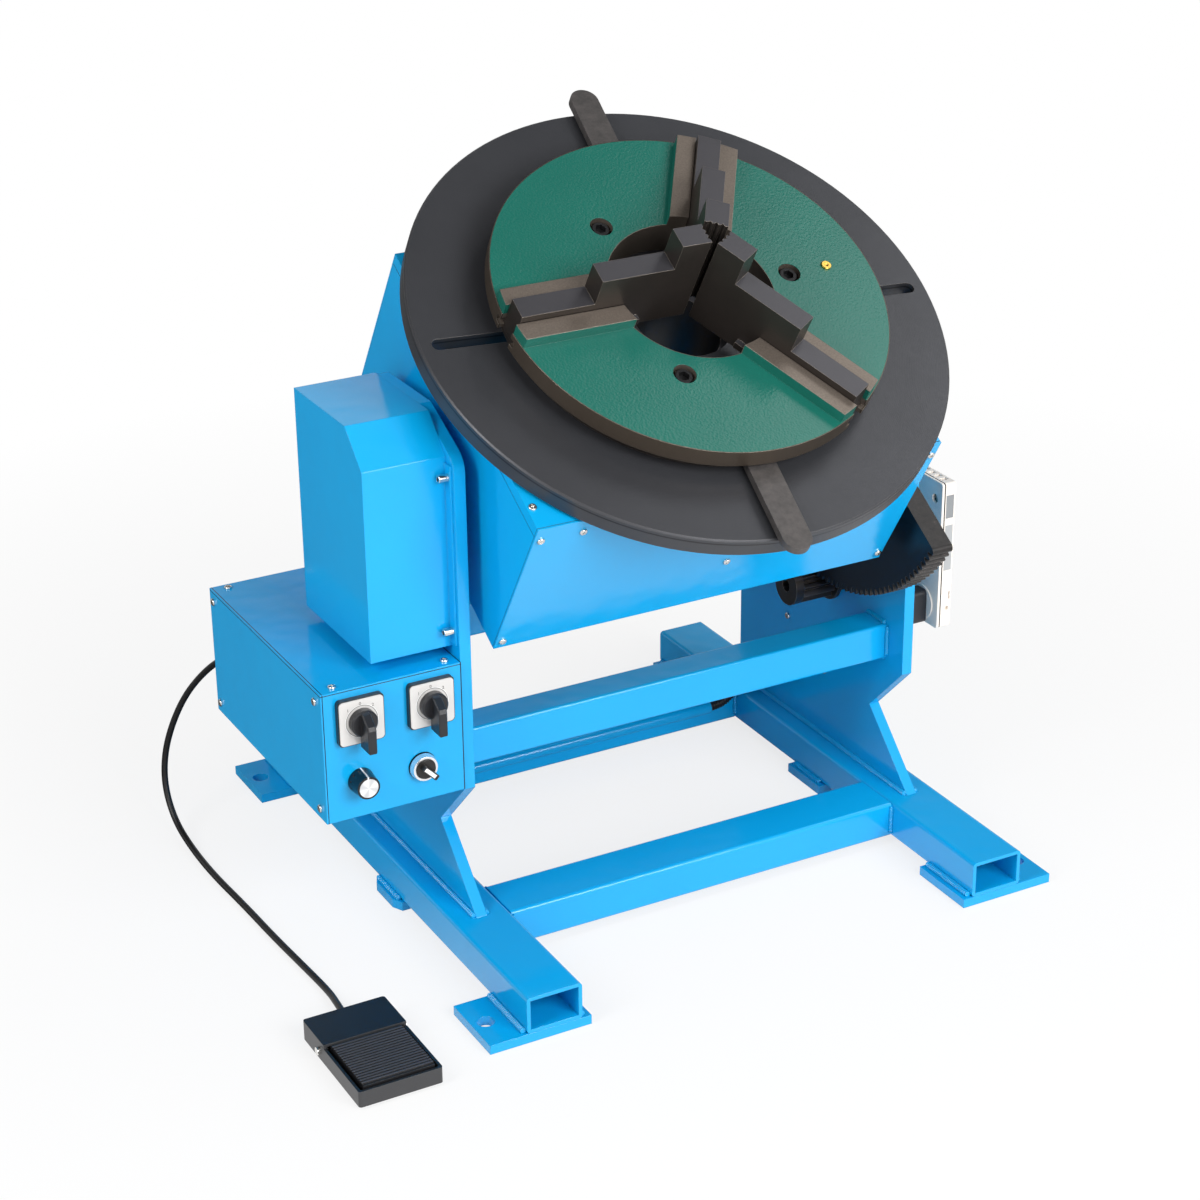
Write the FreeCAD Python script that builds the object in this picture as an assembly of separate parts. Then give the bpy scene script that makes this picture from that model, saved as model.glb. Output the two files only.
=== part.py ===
import FreeCAD, Part
import math
import os

V = FreeCAD.Vector

# ---------------------------------------------------------------- driving dimensions, millimetres
# Base frame: two foot tubes on plates, two cross tubes, two plate uprights and a tie beam.
FOOT_SPAN = 580.0            # over the outer sides of the foot tubes
FOOT_LENGTH = 654.0
TUBE_WIDTH, TUBE_HEIGHT, TUBE_WALL = 60.0, 40.0, 4.0
FOOT_PLATE = (110.0, 80.0)   # across and along the foot
FOOT_PLATE_THICKNESS = 10.0
FOOT_PLATE_LAP = 10.0        # how far a plate shows inside its tube
FLOOR_HOLE_RADIUS = 9.0
FLOOR_HOLE_EDGE = 15.0       # floor hole centre to the plate's outer side
MID_PLATE = (74.0, 64.0)
MID_PLATE_Y = -12.0
MID_PLATE_CHAMFER = 12.0
FRONT_CROSS_Y = -177.0       # front face of the front cross tube
REAR_CROSS_Y = 149.0         # front face of the rear cross tube
UPRIGHT_THICKNESS = 12.0
UPRIGHT_GAP = 508.0          # between the inner faces of the uprights
UPRIGHT_TOP = 570.0
UPRIGHT_FRONT, UPRIGHT_REAR = -152.0, 178.0
UPRIGHT_FOOT_FRONT = -171.0
UPRIGHT_NOTCH = (-93.0, 127.5, 187.5)  # y of the notch, its z, and the z where the front edge begins
UPRIGHT_CORNER_RADIUS = 22.0
TIE_SIZE, TIE_WALL = 40.0, 3.0
TIE_FRONT, TIE_BOTTOM = -122.0, 195.5
REAR_TIE_BOTTOM = 201.0      # the rear beam stands flush with the uprights' rear edges
UPRIGHT_TOP_FRONT, UPRIGHT_TOP_REAR = -81.0, 21.0
UPRIGHT_FRONT_TOP = 534.5    # where the front edge would meet the front slope
UPRIGHT_REAR_TOP = 430.0
BEARING_HOLE_RADIUS = 31.0
BEARING_FLANGE, BEARING_THICKNESS = 98.0, 16.0
HOSE_RADIUS, CONDUIT_RADIUS = 6.0, 7.5
CONDUIT_Y, CONDUIT_Z, CONDUIT_END = 141.0, 38.0, 189.0

# Screws of the sheet panels and covers.
SCREW_RADIUS, SCREW_LENGTH, SCREW_CLEARANCE = 1.6, 6.0, 0.25
SCREW_HEAD_RADIUS, SCREW_HEAD_HEIGHT = 4.0, 2.6
LOW_HEAD_HEIGHT = 2.0        # heads under the table's edge
CROSS_WIDTH, CROSS_DEPTH = 0.9, 1.2
CAP_HEAD_RADIUS, CAP_HEAD_HEIGHT = 4.2, 10.0

# Tilt axis, parallel to X, and the pose the cradle is stored in.
TILT_Y, TILT_Z = -42.0, 501.0
TILT_REST = 32.0             # degrees from table level
TRUNNION_RADIUS = 25.0
RUNNING_CLEARANCE = 0.05     # radial, shafts in bearings
BODY_CLEARANCE = 0.4         # between pieces that move past each other

# Cradle: a box of two cheeks, a top plate and sheet panels that swings between the uprights.
CRADLE_LEFT, CRADLE_RIGHT = -238.0, 207.0
CRADLE_FRONT, CRADLE_REAR = -190.0, 152.0
CRADLE_TOP, CRADLE_BOTTOM = 121.0, -68.0
CHEEK_THICKNESS = 12.0
TOP_PLATE_THICKNESS = 12.0
SHEET = 2.0
PANEL_SCREW_LEFT, PANEL_SCREW_RIGHT, PANEL_SCREW_LOW = 7.0, 6.0, 11.0  # in from the panels' edges
FRONT_SCREW_TOP, REAR_SCREW_TOP, TOP_SCREW_INSET = 17.0, 23.0, 24.0
EXTRA_SCREWS = ((51.0, 172.0), (241.0, 62.0))  # on the front panel, from its lower left corner

# Rotating table and welding chuck, along the spin axis above the tilt axis.
TABLE_TOP = 145.5
TABLE_RADIUS, TABLE_THICKNESS = 275.0, 22.0
TABLE_BORE_RADIUS = 52.0
TABLE_SLOT_WIDTH, TABLE_SLOT_INNER, TABLE_SLOT_MARGIN = 13.0, 135.0, 13.0  # margin at the rim
TABLE_TURN = -4.0            # where the slots stand at rest, degrees
CHUCK_RADIUS, CHUCK_BORE_RADIUS = 200.0, 85.0
CHUCK_HEIGHT = 36.5          # painted face above the table
CHUCK_RIM = 20.0             # height of the chuck's rim
PAD_HEIGHT, PAD_WIDTH = 12.0, 63.0
CHUCK_HUB_RADIUS = 126.0
CHUCK_BOLT_CIRCLE = 110.0    # radius
CHUCK_BOLT_RADIUS, CHUCK_BOLT_HEAD_RADIUS = 6.0, 9.0
COUNTERBORE_RADIUS, COUNTERBORE_DEPTH = 11.5, 15.0
BOLT_HOLE_CLEARANCE = 0.5
NIPPLE_ANGLE, NIPPLE_EDGE = 0.0, 47.5  # direction, and distance from the chuck's rim
NIPPLE_RADIUS, NIPPLE_HEIGHT, NIPPLE_SHANK, NIPPLE_DEPTH = 5.2, 2.0, 2.5, 4.0
NIPPLE_CLEARANCE, NIPPLE_BALL = 0.2, 2.4
JAW_WIDTH, JAW_LIP_WIDTH = 23.5, 36.0
JAW_LIP = (22.3, 29.7)       # bottom and top of the lips above the table
JAW_BOTTOM = 17.0
JAW_SIDE_CLEARANCE, JAW_LIP_CLEARANCE = 0.5, 0.35
JAW_STEP_LENGTH, JAW_STEP_HEIGHT = 76.5, 31.0
JAW_NOSE_LENGTH = 31.0
JAW_REST = 10.0              # jaw tips from the centre
JAW_FIRST_STEP = 56.5        # top of the lowest step above the table
JAW_ANGLES = (60.0, 180.0, 300.0)
SCROLL_RADIUS = 188.0
SCROLL_THICKNESS = 15.5
LEVER_WIDTH, LEVER_THICKNESS, LEVER_REACH = 30.0, 8.0, 297.0

# Tilt drive: sector gear on the cradle, pinion through the right upright.
MODULE = 3.0
SECTOR_TEETH, PINION_TEETH = 158, 12
PROFILE_SHIFT = 0.4          # added to the pinion, taken from the sector
PRESSURE_ANGLE = math.radians(20.0)
BACKLASH = 0.25
SECTOR_LEFT, SECTOR_THICKNESS, SECTOR_HUB_RADIUS = 224.0, 24.0, 60.0
SECTOR_START, SECTOR_END = 1.0, 106.0  # degrees from the front, downwards, table level
SECTOR_CORNER_RADIUS = 5.5
PINION_BEARING_ANGLE = 98.0  # where the pinion meets the sector, degrees from the front
PINION_SHAFT_RADIUS = 12.0
GEARBOX = (300.0, 317.0, -147.0, 64.0, 229.5, 396.0)  # x, y and z limits
CASE_COVER = 13.0            # thickness of the outer half of the case
CASE_SEAM = 0.8
CASE_VENTS, VENT_PITCH, VENT_WIDTH, VENT_DEPTH = 4, 11.0, 6.0, 4.0
CLAMP_WIDTH, CLAMP_Y, CLAMP_BOTTOM, CLAMP_TOP = 20.0, -119.0, 230.0, 268.0
CLAMP_SEAT_RADIUS, CLAMP_SEAT_Z = 19.0, 252.0
REAR_CLAMP_SHIFT = (138.0, 78.0)  # rearwards and upwards from the front one
MOTOR_RADIUS, MOTOR_LENGTH = 32.0, 66.0
MOTOR_Y, MOTOR_Z = 26.0, 340.0
PINION_LEFT, PINION_RIGHT, PINION_HUB = 208.0, 249.0, 10.0
PINION_BUSH_RADIUS, PINION_BUSH_FLANGE = 20.0, 26.0

# Rotation drive inside the cradle.
SPINDLE_RADIUS, SPINDLE_BORE = 60.0, 45.0
SPINDLE_MODULE, SPINDLE_TEETH, DRIVE_TEETH = 4.0, 48, 20
SPINDLE_FLANGE_RADIUS, SPINDLE_FLANGE, SPINDLE_BOTTOM = 75.0, 12.0, 8.0
SPINDLE_GEAR_TOP, SPINDLE_GEAR_THICKNESS = 42.0, 22.0
TOP_PLATE_HOLE_RADIUS = 84.0
HOUSING_RADIUS, HOUSING_BORE, HOUSING_FLANGE_RADIUS, HOUSING_BOTTOM = 76.0, 68.0, 98.0, 46.0
DRIVE_MOTOR_RADIUS, DRIVE_SHAFT_RADIUS = 36.0, 8.0

# Control box on the outside of the left upright.
BOX_WIDTH, BOX_FRONT, BOX_REAR = 147.5, -154.0, 132.0
BOX_BOTTOM, BOX_TOP = 189.5, 328.0
BOX_SHEET = 2.0
LID_SCREW_LEFT, LID_SCREW_RIGHT, LID_SCREW_END = 16.5, 13.0, 10.0  # in from the lid's edges
SIDE_SCREW_FRONT, SIDE_SCREW_REAR, SIDE_SCREW_TOP, SIDE_SCREW_LOW = 14.0, 10.0, 12.0, 11.5
UPRIGHT_SCREWS = ((75.0, 167.0), (-3.0, 130.5))  # y, z on the right upright's inner face
SWITCH_Z = 295.0
SWITCH_XS = (-375.0, -301.0)
SWITCH_PLATE, SWITCH_BASE, SWITCH_BASE_DEPTH = 46.0, 48.0, 6.0
SWITCH_PLATE_THICKNESS = 1.0
LEVER_BOSS_RADIUS, LEVER_BOSS_DEPTH = 13.8, 8.0
BLADE_WIDTH, BLADE_DEPTH, BLADE_DROP = 9.0, 24.0, 25.0
KNOB_X, KNOB_Z, KNOB_RADIUS, KNOB_DEPTH = -376.5, 228.5, 13.5, 19.0
SELECTOR_X, SELECTOR_Z, SELECTOR_RADIUS = -311.0, 227.0, 14.8
CONTROLLER_LEFT, CONTROLLER_RIGHT, CONTROLLER_FRONT, CONTROLLER_REAR = 22.0, 30.0, 134.0, 32.0  # from the box's sides
CONTROLLER_HEIGHT, FIN_HEIGHT, FIN_COUNT, FIN_PITCH = 52.0, 18.0, 9, 10.0

# Sheet cover over the left trunnion.
COVER_WIDTH, COVER_FRONT, COVER_REAR, COVER_BOTTOM = 86.5, -136.0, 20.0, 339.0
COVER_BEVEL = 35.0
COVER_SCREW_LOW, COVER_SCREW_HIGH = 18.0, 54.0  # from the cover's bottom, from the upright's top
COVER_STRIP = 12.0           # lap of the cover's front edge on the upright

# Foot switch on the floor, and its cord.
PEDAL_LEFT, PEDAL_RIGHT, PEDAL_FRONT, PEDAL_REAR = -476.0, -390.0, -350.0, -217.0
PEDAL_BOTTOM, PEDAL_TOP, PEDAL_WALL = 3.0, 24.0, 3.0
PEDAL_HOOD_FRONT = -268.0
PEDAL_RIM = 20.0             # top of the walls round the treadle
PEDAL_CORNER_RADIUS = 3.0
TREAD_GAP = 3.5
PEDAL_PIN_Y, PEDAL_PIN_Z, PEDAL_PIN_RADIUS = -258.0, 13.0, 2.5
RIB_COUNT, RIB_PITCH = 17, 4.2
CORD_RADIUS = 3.5
GLAND_X, GLAND_Z, GLAND_LENGTH = -374.0, 225.0, 26.0
CORD_ROUTE = [
    (-374.0, 144.0, 225.0), (-374.0, 170.0, 225.0), (-382.0, 198.0, 214.0), (-400.0, 223.0, 190.0),
    (-420.0, 241.0, 158.0), (-436.0, 250.0, 121.0), (-446.0, 253.0, 85.0), (-450.0, 248.0, 49.0),
    (-449.0, 226.0, 18.0), (-446.0, 184.0, 4.5), (-446.0, 118.0, 3.5), (-441.0, 43.0, 3.5),
    (-437.0, -32.0, 3.5), (-431.0, -104.0, 3.5), (-426.0, -156.0, 3.8), (-429.0, -190.0, 8.6),
    (-431.0, -222.0, 12.0)]


# ---------------------------------------------------------------- shape helpers
def box(x0, x1, y0, y1, z0, z1):
    return Part.makeBox(x1 - x0, y1 - y0, z1 - z0, V(x0, y0, z0))


def rod(start, axis, radius, length):
    return Part.makeCylinder(radius, length, V(*start), V(*axis))


def ring(start, axis, outer, inner, length):
    return rod(start, axis, outer, length).cut(rod(start, axis, inner, length))


def slab_yz(x0, x1, points):
    """A plate parallel to the YZ plane with the outline of the (y, z) points."""
    corners = [V(x0, y, z) for y, z in points]
    face = Part.Face(Part.makePolygon(corners + corners[:1]))
    return face.extrude(V(x1 - x0, 0, 0))


def slab_xy(z0, z1, points):
    corners = [V(x, y, z0) for x, y in points]
    face = Part.Face(Part.makePolygon(corners + corners[:1]))
    return face.extrude(V(0, 0, z1 - z0))


def square_tube(length, width, height, wall):
    """A hollow section along Y from the origin, centred on X, standing on z = 0, corners rounded."""
    outer = box(-width / 2, width / 2, 0, length, 0, height)
    along = [e for e in outer.Edges if abs(e.tangentAt(e.FirstParameter).y) > 0.9]
    outer = outer.makeFillet(wall, along)
    inner = box(-width / 2 + wall, width / 2 - wall, 0, length, wall, height - wall)
    return outer.cut(inner)


def polar(angle, radius, z=0.0):
    a = math.radians(angle)
    return V(radius * math.cos(a), radius * math.sin(a), z)


def turned(shape, angle, centre=(0, 0, 0), axis=(0, 0, 1)):
    copy = shape.copy()
    copy.rotate(V(*centre), V(*axis), angle)
    return copy


def on_cradle(shape):
    """From the level cradle frame, whose origin is on the tilt axis, to the stored pose."""
    copy = shape.copy()
    copy.rotate(V(0, 0, 0), V(1, 0, 0), TILT_REST)
    copy.translate(V(0, TILT_Y, TILT_Z))
    return copy


def involute(angle):
    return math.tan(angle) - angle


def gear_outline(teeth, module, shift, first, count):
    """(radius, angle) pairs of the teeth, tooth 0 centred on the angle first, in radians."""
    pitch_radius = module * teeth / 2
    base_radius = pitch_radius * math.cos(PRESSURE_ANGLE)
    tip_radius = pitch_radius + module * (1 + shift)
    root_radius = pitch_radius - module * (1.25 - shift)
    thickness = module * (math.pi / 2 + 2 * shift * math.tan(PRESSURE_ANGLE)) - BACKLASH
    flank = []
    for step in range(4):
        r = max(root_radius, base_radius) + (tip_radius - max(root_radius, base_radius)) * step / 3
        half = thickness / (2 * pitch_radius) + involute(PRESSURE_ANGLE)
        half -= involute(math.acos(min(1.0, base_radius / r)))
        flank.append((r, half))
    if root_radius < base_radius:
        flank.insert(0, (root_radius, flank[0][1]))
    outline = []
    for tooth in range(count):
        centre = first + tooth * 2 * math.pi / teeth
        outline += [(r, centre - half) for r, half in flank]
        outline += [(r, centre + half) for r, half in reversed(flank)]
    return outline


def facing(shape, point, direction):
    """Turn a shape built along +Z to the direction and stand it on the point."""
    copy = shape.copy()
    copy.Placement = FreeCAD.Placement(V(*point), FreeCAD.Rotation(V(0, 0, 1), V(*direction)))
    return copy


def fastener(head, direction, height=SCREW_HEAD_HEIGHT):
    """A pan-head screw with a cross recess: the head stands out along direction from the point head."""
    body = rod((0, 0, 0), (0, 0, 1), SCREW_HEAD_RADIUS, height)
    crown = max(body.Edges, key=lambda e: e.CenterOfMass.z)
    body = body.makeFillet(height * 0.6, [crown])
    reach = SCREW_HEAD_RADIUS * 0.55
    arm = box(-reach, reach, -CROSS_WIDTH / 2, CROSS_WIDTH / 2, height - CROSS_DEPTH, height + 1)
    body = body.cut(arm).cut(turned(arm, 90))
    return facing(body.fuse(rod((0, 0, 0), (0, 0, -1), SCREW_RADIUS, SCREW_LENGTH)), head, direction)


def cap_screw(head, direction):
    """A socket-head cap screw on a tall round head."""
    body = rod((0, 0, 0), (0, 0, 1), CAP_HEAD_RADIUS, CAP_HEAD_HEIGHT)
    body = body.makeChamfer(0.5, [max(body.Edges, key=lambda e: e.CenterOfMass.z)])
    socket = rod((0, 0, CAP_HEAD_HEIGHT / 2), (0, 0, 1), CAP_HEAD_RADIUS * 0.55, CAP_HEAD_HEIGHT)
    body = body.cut(socket)
    return facing(body.fuse(rod((0, 0, 0), (0, 0, -1), SCREW_RADIUS, SCREW_LENGTH)), head, direction)


def cord_tube(points, radius):
    """A round tube along straight runs joined by tangent arcs; returns it with its path length."""
    pts = [V(*p) for p in points]
    edges, start, radii = [], pts[0], []
    for before, here, after in zip(pts, pts[1:], pts[2:]):
        a, b = here - before, after - here
        run = min(a.Length, b.Length)
        a.normalize()
        b.normalize()
        turn = math.acos(max(-1.0, min(1.0, a.dot(b))))
        bend = 0.45 * run / math.tan(turn / 2)
        radii.append(round(bend, 1))
        set_back = 0.45 * run
        entry, leave = here - a * set_back, here + b * set_back
        middle = here + (b - a).normalize() * (bend / math.cos(turn / 2) - bend)
        edges.append(Part.LineSegment(start, entry).toShape())
        edges.append(Part.Arc(entry, middle, leave).toShape())
        start = leave
    edges.append(Part.LineSegment(start, pts[-1]).toShape())
    path = Part.Wire(edges)
    first = (pts[1] - pts[0]).normalize()
    section = Part.Wire([Part.Circle(pts[0], first, radius).toShape()])
    return path.makePipeShell([section], True, False), path.Length, radii


# ---------------------------------------------------------------- welded base frame
pieces = {}
FOOT_X = (FOOT_SPAN - TUBE_WIDTH) / 2
FOOT_INNER = FOOT_X - TUBE_WIDTH / 2
TUBE_TOP = FOOT_PLATE_THICKNESS + TUBE_HEIGHT
INNER_FACE = UPRIGHT_GAP / 2
OUTER_FACE = INNER_FACE + UPRIGHT_THICKNESS

foot = square_tube(FOOT_LENGTH, TUBE_WIDTH, TUBE_HEIGHT, TUBE_WALL)
for name, x in (("left_foot_tube", -FOOT_X), ("right_foot_tube", FOOT_X)):
    pieces[name] = foot.translated(V(x, -FOOT_LENGTH / 2, FOOT_PLATE_THICKNESS))
cross = turned(square_tube(2 * FOOT_INNER, TUBE_WIDTH, TUBE_HEIGHT, TUBE_WALL), -90)
pieces["cross_tubes"] = Part.makeCompound([
    cross.translated(V(-FOOT_INNER, y + TUBE_WIDTH / 2, FOOT_PLATE_THICKNESS))
    for y in (FRONT_CROSS_Y, REAR_CROSS_Y)])

plate_x = FOOT_INNER - FOOT_PLATE_LAP
plate_end = plate_x + FOOT_PLATE[0]
plate = box(plate_x, plate_end, FOOT_LENGTH / 2 - FOOT_PLATE[1], FOOT_LENGTH / 2, 0, FOOT_PLATE_THICKNESS)
hole_y = (FOOT_LENGTH - FOOT_PLATE[1]) / 2
plate = plate.cut(rod((plate_end - FLOOR_HOLE_EDGE, hole_y, -1), (0, 0, 1), FLOOR_HOLE_RADIUS,
                      FOOT_PLATE_THICKNESS + 2))
rear_pair = [plate, plate.mirror(V(0, 0, 0), V(1, 0, 0))]
front_pair = [p.mirror(V(0, 0, 0), V(0, 1, 0)) for p in rear_pair]
pieces["foot_plates"] = Part.makeCompound(rear_pair + front_pair)

mid_in, mid_out = FOOT_X - MID_PLATE[0] / 2, FOOT_X + MID_PLATE[0] / 2
mid_front, mid_rear = MID_PLATE_Y - MID_PLATE[1] / 2, MID_PLATE_Y + MID_PLATE[1] / 2
cut = MID_PLATE_CHAMFER
mid_plate = slab_xy(0, FOOT_PLATE_THICKNESS, [
    (mid_in, mid_front), (mid_out - cut / 2, mid_front), (mid_out, mid_front + cut),
    (mid_out, mid_rear - cut), (mid_out - cut / 2, mid_rear), (mid_in, mid_rear)])
pieces["mid_foot_plates"] = Part.makeCompound([mid_plate, mid_plate.mirror(V(0, 0, 0), V(1, 0, 0))])

notch_y, notch_z, edge_z = UPRIGHT_NOTCH
upright_outline = [
    (UPRIGHT_FOOT_FRONT, TUBE_TOP), (notch_y, notch_z), (UPRIGHT_FRONT, edge_z),
    (UPRIGHT_FRONT, UPRIGHT_FRONT_TOP), (UPRIGHT_TOP_FRONT, UPRIGHT_TOP), (UPRIGHT_TOP_REAR, UPRIGHT_TOP),
    (UPRIGHT_REAR, UPRIGHT_REAR_TOP), (UPRIGHT_REAR, TUBE_TOP)]
upright = slab_yz(INNER_FACE, OUTER_FACE, upright_outline)
corners = [(UPRIGHT_FRONT, UPRIGHT_FRONT_TOP), (UPRIGHT_TOP_REAR, UPRIGHT_TOP),
           (UPRIGHT_REAR, UPRIGHT_REAR_TOP)]
rounded = [e for e in upright.Edges
           if abs(e.tangentAt(e.FirstParameter).x) > 0.9
           and any(abs(e.CenterOfMass.y - y) + abs(e.CenterOfMass.z - z) < 1 for y, z in corners)]
upright = upright.makeFillet(UPRIGHT_CORNER_RADIUS, rounded)
upright = upright.cut(rod((INNER_FACE - 1, TILT_Y, TILT_Z), (1, 0, 0), BEARING_HOLE_RADIUS,
                          UPRIGHT_THICKNESS + 2))

pinion_distance = MODULE * (SECTOR_TEETH + PINION_TEETH) / 2
bearing_angle = math.radians(180 + PINION_BEARING_ANGLE)
PINION_Y = TILT_Y + pinion_distance * math.cos(bearing_angle)
PINION_Z = TILT_Z + pinion_distance * math.sin(bearing_angle)
frame_screws = [((INNER_FACE, y, z), (-1, 0, 0)) for y, z in UPRIGHT_SCREWS]
pinion_hole = rod((INNER_FACE - 1, PINION_Y, PINION_Z), (1, 0, 0), PINION_BUSH_RADIUS, UPRIGHT_THICKNESS + 2)


def screw_hole(point, direction):
    start = V(*point) + V(*direction)
    return Part.makeCylinder(SCREW_RADIUS + SCREW_CLEARANCE, SCREW_LENGTH + 4, start, V(*direction) * -1)


def drilled(shape, screws):
    for point, direction in screws:
        shape = shape.cut(screw_hole(point, direction))
    return shape


pieces["right_upright"] = drilled(upright.cut(pinion_hole), frame_screws)
left_plate = upright.mirror(V(0, 0, 0), V(1, 0, 0))

tie = turned(square_tube(2 * INNER_FACE, TIE_SIZE, TIE_SIZE, TIE_WALL), -90)
tie_places = [(TIE_FRONT + TIE_SIZE / 2, TIE_BOTTOM), (UPRIGHT_REAR - TIE_SIZE / 2, REAR_TIE_BOTTOM)]
pieces["tie_beam"] = Part.makeCompound([tie.translated(V(-INNER_FACE, y, z)) for y, z in tie_places])

pieces["conduit_pipe"] = ring((-FOOT_INNER, CONDUIT_Y, CONDUIT_Z), (1, 0, 0), CONDUIT_RADIUS,
                              HOSE_RADIUS + 0.3, CONDUIT_END + FOOT_INNER)
hose_route = [(CONDUIT_END - 10, CONDUIT_Y, CONDUIT_Z), (CONDUIT_END + 10, CONDUIT_Y, CONDUIT_Z),
              (CONDUIT_END + 30, CONDUIT_Y, TUBE_TOP), (CONDUIT_END + 47, CONDUIT_Y, TUBE_TOP + 10),
              (INNER_FACE, CONDUIT_Y, TUBE_TOP + 10)]
pieces["conduit_hose"] = cord_tube(hose_route, HOSE_RADIUS)[0]

# ---------------------------------------------------------------- tilt bearings and trunnion cover
half = BEARING_FLANGE / 2
flange = box(OUTER_FACE, OUTER_FACE + BEARING_THICKNESS * 0.6, -half, half, -half, half)
flange = flange.makeFillet(14, [e for e in flange.Edges if abs(e.tangentAt(e.FirstParameter).x) > 0.9])
flange = flange.fuse(rod((OUTER_FACE, 0, 0), (1, 0, 0), half * 0.78, BEARING_THICKNESS))
flange = flange.cut(rod((OUTER_FACE - 1, 0, 0), (1, 0, 0), TRUNNION_RADIUS + RUNNING_CLEARANCE,
                        BEARING_THICKNESS + 2))
flange = flange.translated(V(0, TILT_Y, TILT_Z))
pieces["right_flange_bearing"] = flange
pieces["left_flange_bearing"] = flange.mirror(V(0, 0, 0), V(1, 0, 0))

cover_left = -OUTER_FACE - COVER_WIDTH
cover_outline = [(COVER_FRONT, COVER_BOTTOM), (COVER_FRONT, UPRIGHT_TOP - COVER_BEVEL),
                 (COVER_FRONT + COVER_BEVEL, UPRIGHT_TOP), (COVER_REAR, UPRIGHT_TOP),
                 (COVER_REAR, COVER_BOTTOM)]
inset = BOX_SHEET
slant = inset * math.tan(math.radians(22.5))
hollow_outline = [(COVER_FRONT + inset, COVER_BOTTOM + inset),
                  (COVER_FRONT + inset, UPRIGHT_TOP - COVER_BEVEL - slant),
                  (COVER_FRONT + COVER_BEVEL + slant, UPRIGHT_TOP - inset),
                  (COVER_REAR - inset, UPRIGHT_TOP - inset), (COVER_REAR - inset, COVER_BOTTOM + inset)]
cover = slab_yz(cover_left, -OUTER_FACE, cover_outline)
cover = cover.cut(slab_yz(cover_left + inset, -OUTER_FACE + 1, hollow_outline))
cover_strip = box(-OUTER_FACE - BOX_SHEET, -OUTER_FACE, COVER_FRONT - COVER_STRIP, COVER_FRONT + 1,
                  COVER_BOTTOM + 4, UPRIGHT_TOP - COVER_BEVEL - 6)
cover = cover.fuse(cover_strip).removeSplitter()
cover_screws = [((-OUTER_FACE - BOX_SHEET, COVER_FRONT - COVER_STRIP / 2, z), (-1, 0, 0))
                for z in (COVER_BOTTOM + COVER_SCREW_LOW, UPRIGHT_TOP - COVER_SCREW_HIGH)]
pieces["trunnion_cover"] = drilled(cover, cover_screws)

# ---------------------------------------------------------------- tilt drive outside the right upright
gx0, gx1, gy0, gy1, gz0, gz1 = GEARBOX
case = box(*GEARBOX)
case = case.makeFillet(3, [e for e in case.Edges if abs(e.tangentAt(e.FirstParameter).x) > 0.9])
seam_x = gx1 - CASE_COVER
seam = box(seam_x - CASE_SEAM, seam_x, gy0 - 1, gy1 + 1, gz0 - 1, gz1 + 1)
seam = seam.cut(box(seam_x - CASE_SEAM, seam_x, gy0 + 1, gy1 - 1, gz0 + 1, gz1 - 1))
case = case.cut(seam)
for vent in range(CASE_VENTS):
    vent_y = gy0 + 10 + vent * VENT_PITCH
    case = case.cut(box(seam_x + 2.5, gx1 - 2.5, vent_y, vent_y + VENT_WIDTH, gz1 - VENT_DEPTH, gz1 + 1))
case = case.cut(rod((gx0 - 1, gy0 + 13, gz1 - 20), (1, 0, 0), 5, 9))
case = case.cut(rod((gx1 - 5, gy0 - 1, gz0 + 22), (0, 1, 0), 2.4, 5))
case = case.cut(box(gx1 - 3.5, gx1 - 1.9, gy0 - 1, gy0 + 2, gz0 + 32, gz0 + 41))
case = case.fuse(rod((gx0 - 1.5, CLAMP_Y, CLAMP_SEAT_Z), (1, 0, 0), CLAMP_SEAT_RADIUS, 2))
case = case.cut(rod((gx0 - 1, PINION_Y, PINION_Z), (1, 0, 0), PINION_SHAFT_RADIUS + RUNNING_CLEARANCE, 13))
pieces["tilt_gear_case"] = case.removeSplitter()
block = box(OUTER_FACE, gx0 - 1.5, CLAMP_Y - CLAMP_WIDTH / 2, CLAMP_Y + CLAMP_WIDTH / 2, CLAMP_BOTTOM, CLAMP_TOP)
block = block.makeFillet(5, [e for e in block.Edges if abs(e.tangentAt(e.FirstParameter).x) > 0.9])
rear_block = box(OUTER_FACE, gx0, CLAMP_Y - CLAMP_WIDTH / 2, CLAMP_Y + CLAMP_WIDTH / 2, CLAMP_BOTTOM, CLAMP_TOP)
rear_block = rear_block.translated(V(0, *REAR_CLAMP_SHIFT))
pieces["gear_case_spacers"] = Part.makeCompound([block, rear_block])
motor = rod((gx1, MOTOR_Y, MOTOR_Z), (1, 0, 0), MOTOR_RADIUS, MOTOR_LENGTH)
motor = motor.makeFillet(6, [motor.Edges[0]])
pieces["tilt_motor"] = motor

bush = rod((PINION_RIGHT + 0.5, PINION_Y, PINION_Z), (1, 0, 0), PINION_BUSH_FLANGE,
           INNER_FACE - PINION_RIGHT - 0.5)
bush = bush.fuse(rod((INNER_FACE - 0.5, PINION_Y, PINION_Z), (1, 0, 0), PINION_BUSH_RADIUS,
                     UPRIGHT_THICKNESS + 6))
bush = bush.cut(rod((PINION_RIGHT - 1, PINION_Y, PINION_Z), (1, 0, 0),
                    PINION_SHAFT_RADIUS + RUNNING_CLEARANCE, 60))
pieces["pinion_bush"] = bush

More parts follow.
